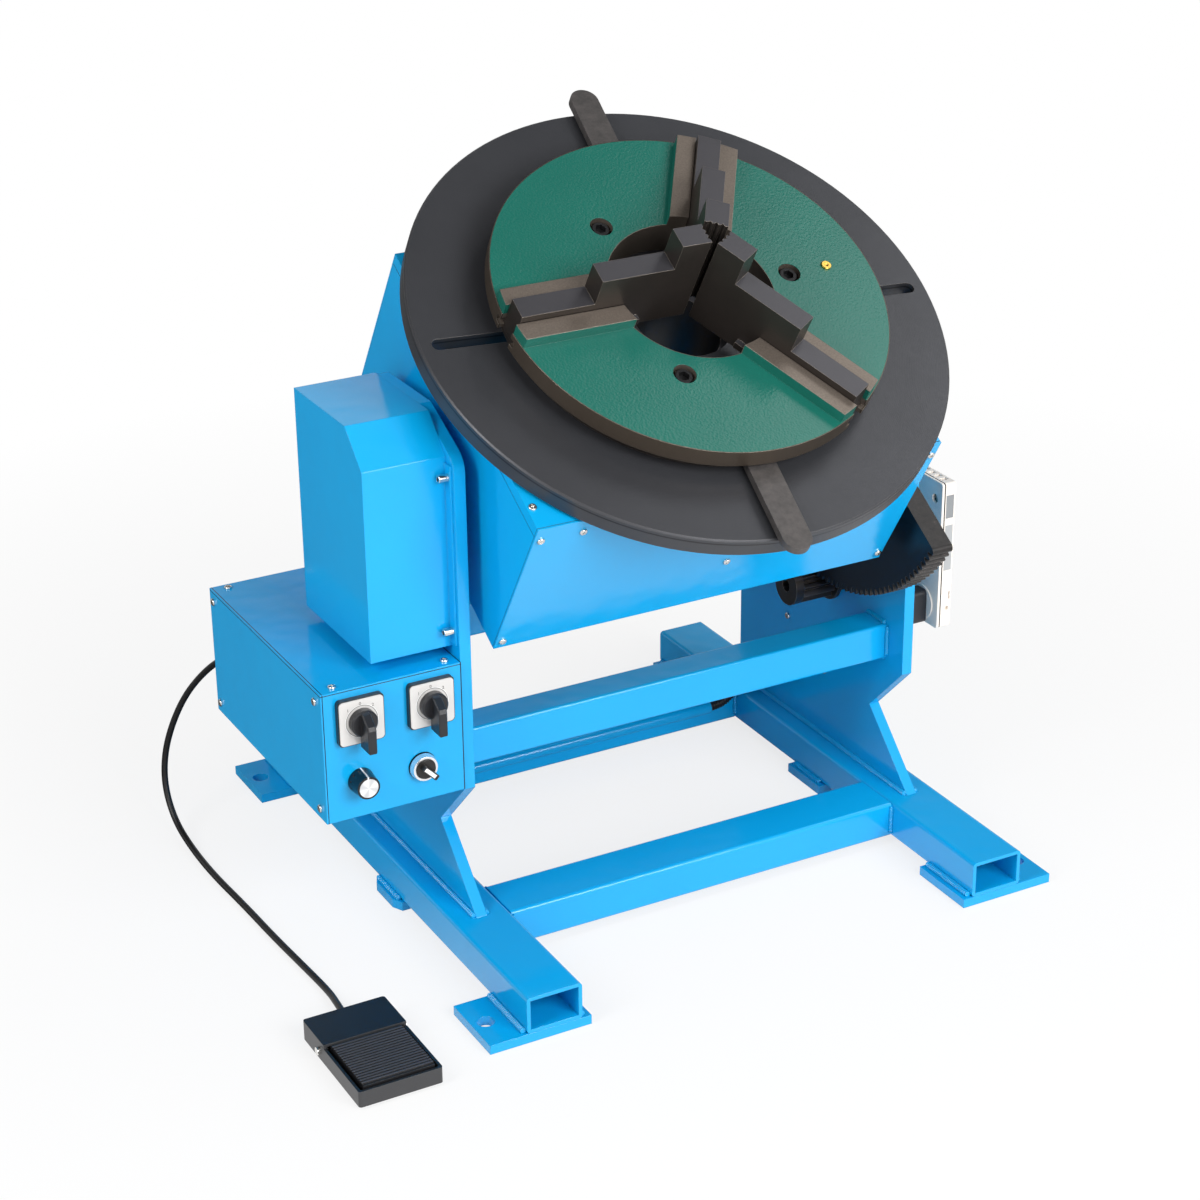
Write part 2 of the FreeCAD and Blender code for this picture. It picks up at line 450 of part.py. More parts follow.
tooth = gear_outline(PINION_TEETH, MODULE, PROFILE_SHIFT, bearing_angle + math.pi + math.pi / PINION_TEETH,
                     PINION_TEETH)
pinion = slab_yz(PINION_LEFT, PINION_RIGHT,
                 [(PINION_Y + r * math.cos(a), PINION_Z + r * math.sin(a)) for r, a in tooth])
pinion = pinion.fuse(rod((PINION_LEFT - PINION_HUB, PINION_Y, PINION_Z), (1, 0, 0),
                         MODULE * (PINION_TEETH / 2 + 1 + PROFILE_SHIFT), PINION_HUB))
pinion = pinion.fuse(rod((PINION_RIGHT - 1, PINION_Y, PINION_Z), (1, 0, 0), PINION_SHAFT_RADIUS,
                         gx0 + 11 - PINION_RIGHT))
pinion = pinion.cut(rod((PINION_LEFT - PINION_HUB - 1, PINION_Y, PINION_Z), (1, 0, 0), 7, 26))
pieces["tilt_pinion"] = pinion

# ---------------------------------------------------------------- control box
BOX_RIGHT = -OUTER_FACE
BOX_LEFT = BOX_RIGHT - BOX_WIDTH
s = BOX_SHEET
chassis = box(BOX_LEFT + s, BOX_RIGHT, BOX_FRONT, BOX_REAR, BOX_BOTTOM, BOX_TOP - s)
chassis = chassis.cut(box(BOX_LEFT, BOX_RIGHT - s, BOX_FRONT + s, BOX_REAR - s, BOX_BOTTOM + s, BOX_TOP))
for x in SWITCH_XS:
    chassis = chassis.cut(rod((x, BOX_FRONT - 1, SWITCH_Z), (0, 1, 0), 18, s + 2))
chassis = chassis.cut(rod((KNOB_X, BOX_FRONT - 1, KNOB_Z), (0, 1, 0), 5, s + 2))
chassis = chassis.cut(rod((SELECTOR_X, BOX_FRONT - 1, SELECTOR_Z), (0, 1, 0), 11.3, s + 2))
chassis = chassis.cut(rod((GLAND_X, BOX_REAR - s - 1, GLAND_Z), (0, 1, 0), 8.3, s + 2))
pieces["control_box_chassis"] = chassis

lid = box(BOX_LEFT, BOX_RIGHT, BOX_FRONT, BOX_REAR, BOX_BOTTOM, BOX_TOP)
lid = lid.cut(box(BOX_LEFT + s, BOX_RIGHT + 1, BOX_FRONT - 1, BOX_REAR + 1, BOX_BOTTOM - 1, BOX_TOP - s))
lid_screws = [((x, y, BOX_TOP), (0, 0, 1)) for y in (BOX_FRONT + LID_SCREW_END, BOX_REAR - LID_SCREW_END)
              for x in (BOX_LEFT + LID_SCREW_LEFT, BOX_RIGHT - LID_SCREW_RIGHT)]
lid_screws += [((BOX_LEFT, y, z), (-1, 0, 0)) for y in (BOX_FRONT + SIDE_SCREW_FRONT, BOX_REAR - SIDE_SCREW_REAR)
               for z in (BOX_TOP - SIDE_SCREW_TOP, BOX_BOTTOM + SIDE_SCREW_LOW)]
pieces["control_box_cover"] = drilled(lid, lid_screws)
pieces["frame_screws"] = Part.makeCompound(
    [fastener(*screw) for screw in frame_screws + lid_screws] + [cap_screw(*screw) for screw in cover_screws])


def switch_block(x):
    """Cam switch: square base on the panel, neck through it, body behind and a bore for the spindle."""
    half_base = SWITCH_BASE / 2
    front = box(x - half_base, x + half_base, BOX_FRONT - SWITCH_BASE_DEPTH, BOX_FRONT,
                SWITCH_Z - half_base, SWITCH_Z + half_base)
    front = front.makeFillet(4, [e for e in front.Edges if abs(e.tangentAt(e.FirstParameter).y) > 0.9])
    body = front.fuse(rod((x, BOX_FRONT - 1, SWITCH_Z), (0, 1, 0), 17.7, s + 2))
    body = body.fuse(box(x - 20, x + 20, BOX_FRONT + s, BOX_FRONT + s + 42, SWITCH_Z - 20, SWITCH_Z + 20))
    bore = rod((x, BOX_FRONT - 10, SWITCH_Z), (0, 1, 0), 3 + RUNNING_CLEARANCE, 34)
    return body.cut(bore).removeSplitter()


def switch_plate(x):
    half_plate = SWITCH_PLATE / 2
    front = BOX_FRONT - SWITCH_BASE_DEPTH
    face = box(x - half_plate, x + half_plate, front - SWITCH_PLATE_THICKNESS, front,
               SWITCH_Z - half_plate, SWITCH_Z + half_plate)
    face = face.makeFillet(4, [e for e in face.Edges if abs(e.tangentAt(e.FirstParameter).y) > 0.9])
    return face.cut(rod((x, front + 1, SWITCH_Z), (0, -1, 0), 4, SWITCH_PLATE_THICKNESS + 2))


def switch_lever(x):
    """Turning handle: a round boss, a deep blade that hangs down from its top, and the spindle."""
    start = BOX_FRONT - SWITCH_BASE_DEPTH - SWITCH_PLATE_THICKNESS - BODY_CLEARANCE
    boss = rod((x, start, SWITCH_Z), (0, -1, 0), LEVER_BOSS_RADIUS, LEVER_BOSS_DEPTH)
    boss = boss.makeChamfer(1.5, [min(boss.Edges, key=lambda e: e.CenterOfMass.y)])
    back, front = start - LEVER_BOSS_DEPTH * 0.6, start - BLADE_DEPTH
    top, bottom = SWITCH_Z + LEVER_BOSS_RADIUS - 1, SWITCH_Z - BLADE_DROP
    outline = [(back, top), (back - BLADE_DEPTH * 0.3, top - 1.5), (front + 1.5, SWITCH_Z + 3),
               (front, SWITCH_Z - 1), (front, bottom), (back, bottom)]
    blade = slab_yz(x - BLADE_WIDTH / 2, x + BLADE_WIDTH / 2, outline)
    blade = blade.makeChamfer(1.0, [e for e in blade.Edges if abs(e.tangentAt(e.FirstParameter).x) < 0.1
                                    and e.CenterOfMass.y < back - 1])
    spindle = rod((x, start - 1, SWITCH_Z), (0, 1, 0), 3, 24)
    return boss.fuse(blade).fuse(spindle).removeSplitter()


pieces["cam_switch_bodies"] = Part.makeCompound([switch_block(x) for x in SWITCH_XS])
pieces["cam_switch_plates"] = Part.makeCompound([switch_plate(x) for x in SWITCH_XS])
pieces["left_switch_lever"] = switch_lever(SWITCH_XS[0])
pieces["right_switch_lever"] = switch_lever(SWITCH_XS[1])

pot = rod((KNOB_X, BOX_FRONT + s, KNOB_Z), (0, 1, 0), 12, 18)
pot = pot.fuse(rod((KNOB_X, BOX_FRONT, KNOB_Z), (0, 1, 0), 4.7, s + 1))
pieces["speed_potentiometer"] = pot.cut(
    rod((KNOB_X, BOX_FRONT - 1, KNOB_Z), (0, 1, 0), 3 + RUNNING_CLEARANCE, 14))
knob_back = BOX_FRONT - BODY_CLEARANCE
knob = Part.makeCone(KNOB_RADIUS, KNOB_RADIUS - 1.8, KNOB_DEPTH, V(KNOB_X, knob_back, KNOB_Z), V(0, -1, 0))
for step in range(12):
    flute = rod((KNOB_X, knob_back - 4, KNOB_Z), (0, -1, 0), 1.3, KNOB_DEPTH)
    flute = flute.translated(V(0, 0, KNOB_RADIUS + 0.2))
    knob = knob.cut(turned(flute, step * 30 + 15, (KNOB_X, 0, KNOB_Z), (0, 1, 0)))
knob = knob.cut(rod((KNOB_X, knob_back - KNOB_DEPTH + 0.6, KNOB_Z), (0, -1, 0), KNOB_RADIUS - 3.8, 2))
knob = knob.cut(box(KNOB_X - 0.6, KNOB_X + 0.6, knob_back - KNOB_DEPTH - 1, knob_back - 5,
                    KNOB_Z + KNOB_RADIUS - 2.2, KNOB_Z + KNOB_RADIUS + 1))
knob = knob.fuse(rod((KNOB_X, knob_back - 1, KNOB_Z), (0, 1, 0), 3, 13))
pieces["speed_knob"] = knob
cap = rod((KNOB_X, knob_back - KNOB_DEPTH + 0.6, KNOB_Z), (0, -1, 0), KNOB_RADIUS - 3.8, 1.2)
pieces["speed_knob_cap"] = cap

bezel = Part.makeCone(SELECTOR_RADIUS, SELECTOR_RADIUS - 2, 8, V(SELECTOR_X, BOX_FRONT, SELECTOR_Z), V(0, -1, 0))
bezel = bezel.fuse(rod((SELECTOR_X, BOX_FRONT - 1, SELECTOR_Z), (0, 1, 0), 11, s + 2))
bezel = bezel.fuse(rod((SELECTOR_X, BOX_FRONT + s, SELECTOR_Z), (0, 1, 0), 14.5, 6))
bezel = bezel.cut(rod((SELECTOR_X, BOX_FRONT - 9, SELECTOR_Z), (0, 1, 0), 10.5, 8))
bezel = bezel.cut(rod((SELECTOR_X, BOX_FRONT - 9, SELECTOR_Z), (0, 1, 0), 5 + RUNNING_CLEARANCE, 16))
pieces["selector_bezel"] = bezel
insert = rod((SELECTOR_X, BOX_FRONT - 1.5, SELECTOR_Z), (0, -1, 0), 10, 8)
handle = box(SELECTOR_X - 3, SELECTOR_X + 3, BOX_FRONT - 17, BOX_FRONT - 9, SELECTOR_Z - 12, SELECTOR_Z + 7)
handle = handle.makeFillet(1.5, [e for e in handle.Edges if abs(e.tangentAt(e.FirstParameter).y) > 0.9])
insert = insert.fuse(turned(handle, -45, (SELECTOR_X, 0, SELECTOR_Z), (0, 1, 0)))
insert = insert.fuse(rod((SELECTOR_X, BOX_FRONT - 2, SELECTOR_Z), (0, 1, 0), 5, 6))
pieces["selector_lever"] = insert

controller_left, controller_top = BOX_LEFT + CONTROLLER_LEFT, BOX_BOTTOM + s + CONTROLLER_HEIGHT
controller_front, controller_rear = BOX_FRONT + CONTROLLER_FRONT, BOX_REAR - CONTROLLER_REAR
controller = box(controller_left, BOX_RIGHT - CONTROLLER_RIGHT, controller_front, controller_rear,
                 BOX_BOTTOM + s, controller_top)
for fin in range(FIN_COUNT):
    gap_left = controller_left + (fin + 0.4) * FIN_PITCH
    controller = controller.cut(box(gap_left, gap_left + FIN_PITCH / 2, controller_front - 1, controller_rear + 1,
                                    controller_top - FIN_HEIGHT, controller_top + 1))
pieces["motor_controller"] = controller

gland = rod((GLAND_X, BOX_REAR, GLAND_Z), (0, 1, 0), 11, 6)
gland = gland.fuse(Part.makeCone(10, 7.5, GLAND_LENGTH - 6, V(GLAND_X, BOX_REAR + 6, GLAND_Z), V(0, 1, 0)))
gland = gland.fuse(rod((GLAND_X, BOX_REAR - 10, GLAND_Z), (0, 1, 0), 8, 11))
gland = gland.cut(rod((GLAND_X, BOX_REAR - 11, GLAND_Z), (0, 1, 0), CORD_RADIUS + 0.15, GLAND_LENGTH + 12))
pieces["cable_gland"] = gland

# ---------------------------------------------------------------- cradle between the uprights
under_top = CRADLE_TOP - TOP_PLATE_THICKNESS
left_in, right_in = CRADLE_LEFT + CHEEK_THICKNESS, CRADLE_RIGHT - CHEEK_THICKNESS
left_cheek = box(CRADLE_LEFT, left_in, CRADLE_FRONT, CRADLE_REAR, CRADLE_BOTTOM, under_top)
right_cheek = box(right_in, CRADLE_RIGHT, CRADLE_FRONT, CRADLE_REAR, CRADLE_BOTTOM, under_top)
pieces["cradle_left_cheek"] = on_cradle(left_cheek)
pieces["cradle_right_cheek"] = on_cradle(right_cheek)
top_plate = box(CRADLE_LEFT, CRADLE_RIGHT, CRADLE_FRONT, CRADLE_REAR, under_top, CRADLE_TOP)
top_plate = top_plate.cut(rod((0, 0, under_top - 1), (0, 0, 1), TOP_PLATE_HOLE_RADIUS, TOP_PLATE_THICKNESS + 2))

panel_xs = (CRADLE_LEFT + PANEL_SCREW_LEFT, CRADLE_RIGHT - PANEL_SCREW_RIGHT)
front_screws = [((x, CRADLE_FRONT - SHEET, h), (0, -1, 0)) for x in panel_xs
                for h in (CRADLE_BOTTOM + PANEL_SCREW_LOW, CRADLE_TOP - FRONT_SCREW_TOP)]
front_screws += [((CRADLE_LEFT + x, CRADLE_FRONT - SHEET, CRADLE_BOTTOM + h), (0, -1, 0))
                 for x, h in EXTRA_SCREWS]
top_screws = [((x, v, CRADLE_TOP), (0, 0, 1))
              for v in (CRADLE_FRONT + TOP_SCREW_INSET, CRADLE_REAR - TOP_SCREW_INSET)
              for x in (CRADLE_LEFT + CHEEK_THICKNESS / 2, CRADLE_RIGHT - CHEEK_THICKNESS / 2)]
pieces["cradle_top_plate"] = on_cradle(drilled(top_plate, top_screws))
front_panel = box(CRADLE_LEFT, CRADLE_RIGHT, CRADLE_FRONT - SHEET, CRADLE_FRONT, CRADLE_BOTTOM, CRADLE_TOP)
pieces["cradle_front_panel"] = on_cradle(drilled(front_panel, front_screws))
for name in ("cradle_left_cheek", "cradle_right_cheek"):
    for point, direction in front_screws:
        pieces[name] = pieces[name].cut(on_cradle(screw_hole(point, direction)))
rear_screws = [((x, CRADLE_REAR + SHEET, h), (0, 1, 0)) for x in panel_xs
               for h in (CRADLE_BOTTOM + PANEL_SCREW_LOW, CRADLE_TOP - REAR_SCREW_TOP)]
rear_panel = box(CRADLE_LEFT, CRADLE_RIGHT, CRADLE_REAR, CRADLE_REAR + SHEET, CRADLE_BOTTOM, CRADLE_TOP)
pieces["cradle_rear_panel"] = on_cradle(drilled(rear_panel, rear_screws))
for name in ("cradle_left_cheek", "cradle_right_cheek"):
    for point, direction in rear_screws:
        pieces[name] = pieces[name].cut(on_cradle(screw_hole(point, direction)))
pieces["cradle_screws"] = on_cradle(Part.makeCompound(
    [fastener(*screw) for screw in front_screws + rear_screws]
    + [fastener(*screw, height=LOW_HEAD_HEIGHT) for screw in top_screws]))

trunnion = rod((CRADLE_LEFT, 0, 0), (-1, 0, 0), 45, 8)
trunnion = trunnion.fuse(rod((CRADLE_LEFT, 0, 0), (-1, 0, 0), TRUNNION_RADIUS,
                             CRADLE_LEFT + OUTER_FACE + BEARING_THICKNESS + 18))
pieces["left_trunnion"] = on_cradle(trunnion)
trunnion = rod((CRADLE_RIGHT, 0, 0), (1, 0, 0), 50, SECTOR_LEFT - CRADLE_RIGHT)
trunnion = trunnion.fuse(rod((CRADLE_RIGHT, 0, 0), (1, 0, 0), TRUNNION_RADIUS,
                             OUTER_FACE + BEARING_THICKNESS + 6 - CRADLE_RIGHT))
pieces["right_trunnion"] = on_cradle(trunnion)

pitch = 2 * math.pi / SECTOR_TEETH
mesh_angle = math.radians(PINION_BEARING_ANGLE - TILT_REST)
before = int((mesh_angle - math.radians(SECTOR_START)) / pitch - 0.5)
after = int((math.radians(SECTOR_END) - mesh_angle) / pitch - 0.5)
teeth = gear_outline(SECTOR_TEETH, MODULE, -PROFILE_SHIFT, math.pi + mesh_angle - before * pitch,
                     before + after + 1)
flank_points = len(teeth) // (before + after + 1) // 2
tip = max(r for r, a in teeth)
ends = [(tip, math.pi + math.radians(a)) for a in (SECTOR_START, SECTOR_END)]
rim = [ends[0]] + teeth[flank_points:-flank_points] + [ends[1]]
sector = slab_yz(SECTOR_LEFT, SECTOR_LEFT + SECTOR_THICKNESS,
                 [(0, 0)] + [(r * math.cos(a), r * math.sin(a)) for r, a in rim])
sector = sector.makeFillet(SECTOR_CORNER_RADIUS, [
    e for e in sector.Edges for r, a in ends
    if abs(e.CenterOfMass.y - r * math.cos(a)) + abs(e.CenterOfMass.z - r * math.sin(a)) < 0.1])
sector = sector.fuse(rod((SECTOR_LEFT, 0, 0), (1, 0, 0), SECTOR_HUB_RADIUS, SECTOR_THICKNESS))
sector = sector.cut(rod((SECTOR_LEFT - 1, 0, 0), (1, 0, 0), TRUNNION_RADIUS, SECTOR_THICKNESS + 2))
pieces["sector_gear"] = on_cradle(sector)

# ---------------------------------------------------------------- rotation drive
table_bottom = TABLE_TOP - TABLE_THICKNESS
housing = ring((0, 0, HOUSING_BOTTOM), (0, 0, 1), HOUSING_RADIUS, HOUSING_BORE, under_top - HOUSING_BOTTOM)
housing = housing.fuse(ring((0, 0, under_top - 12), (0, 0, 1), HOUSING_FLANGE_RADIUS, HOUSING_BORE, 12))
pieces["spindle_housing"] = on_cradle(housing)
bearing = ring((0, 0, HOUSING_BOTTOM + 3), (0, 0, 1), HOUSING_BORE, SPINDLE_RADIUS + RUNNING_CLEARANCE, 16)
pieces["spindle_bearings"] = on_cradle(Part.makeCompound([bearing, bearing.translated(V(0, 0, 38))]))

gear_teeth = gear_outline(SPINDLE_TEETH, SPINDLE_MODULE, 0.0, math.pi, SPINDLE_TEETH)
gear_bottom = SPINDLE_GEAR_TOP - SPINDLE_GEAR_THICKNESS
spindle = slab_xy(gear_bottom, SPINDLE_GEAR_TOP, [(r * math.cos(a), r * math.sin(a)) for r, a in gear_teeth])
spindle = spindle.fuse(rod((0, 0, SPINDLE_BOTTOM), (0, 0, 1), SPINDLE_RADIUS, table_bottom - SPINDLE_BOTTOM))
spindle = spindle.fuse(rod((0, 0, table_bottom - SPINDLE_FLANGE), (0, 0, 1), SPINDLE_FLANGE_RADIUS,
                           SPINDLE_FLANGE))
spindle = spindle.cut(rod((0, 0, SPINDLE_BOTTOM - 1), (0, 0, 1), SPINDLE_BORE, table_bottom))
pieces["spindle"] = on_cradle(spindle)

drive_x = -SPINDLE_MODULE * (SPINDLE_TEETH + DRIVE_TEETH) / 2
drive_teeth = gear_outline(DRIVE_TEETH, SPINDLE_MODULE, 0.0, math.pi / DRIVE_TEETH, DRIVE_TEETH)
drive = slab_xy(gear_bottom, SPINDLE_GEAR_TOP,
                [(drive_x + r * math.cos(a), r * math.sin(a)) for r, a in drive_teeth])
drive = drive.fuse(rod((drive_x, 0, SPINDLE_GEAR_TOP - 1), (0, 0, 1), DRIVE_SHAFT_RADIUS, 24))
pieces["rotation_pinion"] = on_cradle(drive)
gearmotor = rod((drive_x, 0, SPINDLE_GEAR_TOP + 4), (0, 0, 1), DRIVE_MOTOR_RADIUS,
                under_top - SPINDLE_GEAR_TOP - 4)
gearmotor = gearmotor.cut(rod((drive_x, 0, SPINDLE_GEAR_TOP), (0, 0, 1),
                              DRIVE_SHAFT_RADIUS + RUNNING_CLEARANCE, 24))
pieces["rotation_motor"] = on_cradle(gearmotor)

# ---------------------------------------------------------------- table and welding chuck
bolt_places = [polar(a, CHUCK_BOLT_CIRCLE) for a in (0, 120, 240)]
table = rod((0, 0, table_bottom), (0, 0, 1), TABLE_RADIUS, TABLE_THICKNESS)
rim_edges = [e for e in table.Edges if e.Curve.TypeId == "Part::GeomCircle"]
table = table.makeChamfer(1.5, rim_edges)
table = table.cut(rod((0, 0, table_bottom - 1), (0, 0, 1), TABLE_BORE_RADIUS, TABLE_THICKNESS + 2))
half = TABLE_SLOT_WIDTH / 2
slot_end = TABLE_RADIUS - TABLE_SLOT_MARGIN - half
for quarter in range(4):
    slot = box(TABLE_SLOT_INNER, slot_end, -half, half, table_bottom - 1, TABLE_TOP + 1)
    slot = slot.fuse(rod((slot_end, 0, table_bottom - 1), (0, 0, 1), half, TABLE_THICKNESS + 2))
    slot = slot.fuse(rod((TABLE_SLOT_INNER, 0, table_bottom - 1), (0, 0, 1), half, TABLE_THICKNESS + 2))
    table = table.cut(turned(slot, TABLE_TURN + quarter * 90))
for place in bolt_places:
    table = table.cut(rod((place.x, place.y, TABLE_TOP - 18), (0, 0, 1), CHUCK_BOLT_RADIUS, 20))
pieces["faceplate"] = on_cradle(table)

body_bottom = TABLE_TOP + CHUCK_HEIGHT - CHUCK_RIM
body_top = TABLE_TOP + CHUCK_HEIGHT
pad_top = body_top + PAD_HEIGHT
chuck = rod((0, 0, body_bottom), (0, 0, 1), CHUCK_RADIUS, CHUCK_RIM)
chuck = chuck.fuse(rod((0, 0, TABLE_TOP), (0, 0, 1), CHUCK_HUB_RADIUS, CHUCK_HEIGHT - 1))
disc = rod((0, 0, body_bottom), (0, 0, 1), CHUCK_RADIUS - 1.5, CHUCK_RIM + PAD_HEIGHT)
for angle in JAW_ANGLES:
    pad = box(20, CHUCK_RADIUS, -PAD_WIDTH / 2, PAD_WIDTH / 2, body_top - 2, pad_top).common(disc)
    chuck = chuck.fuse(turned(pad, angle))
chuck = chuck.cut(rod((0, 0, TABLE_TOP - 1), (0, 0, 1), CHUCK_BORE_RADIUS, CHUCK_HEIGHT + PAD_HEIGHT + 2))
slot_half = JAW_WIDTH / 2 + JAW_SIDE_CLEARANCE
groove_half = JAW_LIP_WIDTH / 2 + JAW_SIDE_CLEARANCE
for angle in JAW_ANGLES:
    slot = box(20, CHUCK_RADIUS + 1, -slot_half, slot_half, body_bottom, pad_top + 1)
    slot = slot.fuse(box(20, CHUCK_RADIUS + 1, -groove_half, groove_half,
                         TABLE_TOP + JAW_LIP[0] - JAW_LIP_CLEARANCE, TABLE_TOP + JAW_LIP[1] + JAW_LIP_CLEARANCE))
    chuck = chuck.cut(turned(slot, angle))
for place in bolt_places:
    chuck = chuck.cut(rod((place.x, place.y, TABLE_TOP - 1), (0, 0, 1), CHUCK_BOLT_RADIUS + BOLT_HOLE_CLEARANCE,
                          CHUCK_HEIGHT + 2))
    chuck = chuck.cut(rod((place.x, place.y, body_top - COUNTERBORE_DEPTH), (0, 0, 1), COUNTERBORE_RADIUS,
                          COUNTERBORE_DEPTH + 1))
nipple_place = polar(NIPPLE_ANGLE, CHUCK_RADIUS - NIPPLE_EDGE, body_top)
nipple_hole = tuple(nipple_place - V(0, 0, NIPPLE_DEPTH + 1))
chuck = chuck.cut(rod(nipple_hole, (0, 0, 1), NIPPLE_SHANK + NIPPLE_CLEARANCE, NIPPLE_DEPTH + 2))
pieces["chuck_body"] = on_cradle(chuck)

bolts = []
for place in bolt_places:
    seat = body_top - COUNTERBORE_DEPTH
    bolt = rod((place.x, place.y, seat), (0, 0, 1), CHUCK_BOLT_HEAD_RADIUS, 12)
    bolt = bolt.makeChamfer(0.8, [max(bolt.Edges, key=lambda e: e.CenterOfMass.z)])
    socket = Part.Face(Part.makePolygon([polar(k * 60, 5.8) for k in range(7)])).extrude(V(0, 0, 8))
    bolt = bolt.cut(socket.translated(V(place.x, place.y, seat + 6)))
    bolt = bolt.fuse(rod((place.x, place.y, TABLE_TOP - 16), (0, 0, 1), CHUCK_BOLT_RADIUS - 0.2,
                         seat - TABLE_TOP + 16.5))
    bolts.append(bolt)
pieces["chuck_bolts"] = on_cradle(Part.makeCompound(bolts))

nipple = rod(tuple(nipple_place), (0, 0, 1), NIPPLE_RADIUS, NIPPLE_HEIGHT)
nipple = nipple.makeFillet(0.6, [max(nipple.Edges, key=lambda e: e.CenterOfMass.z)])
nipple = nipple.cut(Part.makeSphere(NIPPLE_BALL, nipple_place + V(0, 0, NIPPLE_HEIGHT + 1)))
nipple = nipple.fuse(rod(tuple(nipple_place - V(0, 0, NIPPLE_DEPTH)), (0, 0, 1), NIPPLE_SHANK,
                         NIPPLE_DEPTH + 0.2))
pieces["oil_nipple"] = on_cradle(nipple)

scroll_bottom = TABLE_TOP + (CHUCK_HEIGHT - CHUCK_RIM - SCROLL_THICKNESS) / 2
scroll = ring((0, 0, scroll_bottom), (0, 0, 1), SCROLL_RADIUS, CHUCK_HUB_RADIUS + RUNNING_CLEARANCE,
              SCROLL_THICKNESS)
lever_bottom = TABLE_TOP + 4
bars = []
for angle in (86, 266):
    half = LEVER_WIDTH / 2
    bar = box(SCROLL_RADIUS - 22, LEVER_REACH - half, -half, half, lever_bottom, lever_bottom + LEVER_THICKNESS)
    bar = bar.fuse(rod((LEVER_REACH - half, 0, lever_bottom), (0, 0, 1), half, LEVER_THICKNESS))
    bar = turned(bar.removeSplitter(), angle)
    seat = box(SCROLL_RADIUS - 22, SCROLL_RADIUS + 1, -half, half, lever_bottom, lever_bottom + LEVER_THICKNESS)
    scroll = scroll.cut(turned(seat, angle))
    bars.append(bar)
pieces["scroll_ring"] = on_cradle(scroll)
pieces["scroll_levers"] = on_cradle(Part.makeCompound(bars))


def jaw_shape():
    """A stepped jaw along +X from the table centre, with side lips and a toothed nose."""
    low = TABLE_TOP + JAW_BOTTOM
    first = JAW_REST + JAW_NOSE_LENGTH
    second = first + JAW_STEP_LENGTH
    end = second + JAW_STEP_LENGTH
    step_1 = TABLE_TOP + JAW_FIRST_STEP
    step_2 = step_1 + JAW_STEP_HEIGHT
    nose = step_2 + JAW_STEP_HEIGHT
    profile = [(JAW_REST, low), (JAW_REST, nose), (first, nose), (first, step_2), (second, step_2),
               (second, step_1), (end, step_1), (end, low)]
    corners = [V(x, -JAW_WIDTH / 2, z) for x, z in profile]
    jaw = Part.Face(Part.makePolygon(corners + corners[:1])).extrude(V(0, JAW_WIDTH, 0))
    jaw = jaw.fuse(box(JAW_REST + 55, end, -JAW_LIP_WIDTH / 2, JAW_LIP_WIDTH / 2,
                       TABLE_TOP + JAW_LIP[0], TABLE_TOP + JAW_LIP[1])).removeSplitter()
    for y in (-6, 0, 6):
        tooth_gap = box(-1.6, 1.6, -1.6, 1.6, low - 1, nose + 1)
        jaw = jaw.cut(turned(tooth_gap, 45).translated(V(JAW_REST, y, 0)))
    return jaw


for number, angle in enumerate(JAW_ANGLES, 1):
    pieces["jaw_%d" % number] = on_cradle(turned(jaw_shape(), angle))

# ---------------------------------------------------------------- foot switch
w = PEDAL_WALL
tray = box(PEDAL_LEFT, PEDAL_RIGHT, PEDAL_FRONT, PEDAL_REAR, PEDAL_BOTTOM, PEDAL_TOP)
tray = tray.makeFillet(PEDAL_CORNER_RADIUS, [e for e in tray.Edges if abs(e.tangentAt(e.FirstParameter).z) > 0.9])
tray = tray.cut(box(PEDAL_LEFT + w, PEDAL_RIGHT - w, PEDAL_FRONT + w, PEDAL_REAR - w, PEDAL_BOTTOM + w,
                    PEDAL_TOP - w))
tray = tray.cut(box(PEDAL_LEFT - 1, PEDAL_RIGHT + 1, PEDAL_FRONT - 1, PEDAL_HOOD_FRONT, PEDAL_RIM,
                    PEDAL_TOP + 1))
tray = tray.cut(box(PEDAL_LEFT + w, PEDAL_RIGHT - w, PEDAL_FRONT + w, PEDAL_HOOD_FRONT, PEDAL_TOP - 2 * w,
                    PEDAL_TOP + 1))
tray = tray.cut(rod((PEDAL_LEFT - 1, PEDAL_PIN_Y, PEDAL_PIN_Z), (1, 0, 0), PEDAL_PIN_RADIUS + 0.2, 120))
tray = tray.cut(rod((-430.8, PEDAL_REAR - w - 1, 11.6), (0, 1, 0), CORD_RADIUS + 0.8, w + 2))
pieces["pedal_base"] = tray
tread_left, tread_right = PEDAL_LEFT + w + TREAD_GAP, PEDAL_RIGHT - w - TREAD_GAP
tread_front, tread_rear = PEDAL_FRONT + w + 1.5, PEDAL_HOOD_FRONT - 1.5
tread = box(tread_left, tread_right, tread_front, tread_rear, PEDAL_BOTTOM + 11, PEDAL_TOP - 1.5)
tread = tread.cut(box(tread_left + w, tread_right - w, tread_front + w, tread_rear + 1, PEDAL_BOTTOM,
                      PEDAL_TOP - 4.5))
for rib in range(RIB_COUNT):
    y = tread_front + 3 + rib * RIB_PITCH
    tread = tread.fuse(box(tread_left, tread_right, y, y + RIB_PITCH / 2, PEDAL_TOP - 2, PEDAL_TOP))
for x in (tread_left, tread_right - 8):
    lug = box(x, x + 8, tread_rear - 6, PEDAL_PIN_Y, PEDAL_PIN_Z - 4.5, PEDAL_PIN_Z + 4.5)
    lug = lug.fuse(rod((x, PEDAL_PIN_Y, PEDAL_PIN_Z), (1, 0, 0), 4.5, 8))
    tread = tread.fuse(lug)
tread = tread.cut(rod((PEDAL_LEFT, PEDAL_PIN_Y, PEDAL_PIN_Z), (1, 0, 0), PEDAL_PIN_RADIUS + RUNNING_CLEARANCE,
                      120))
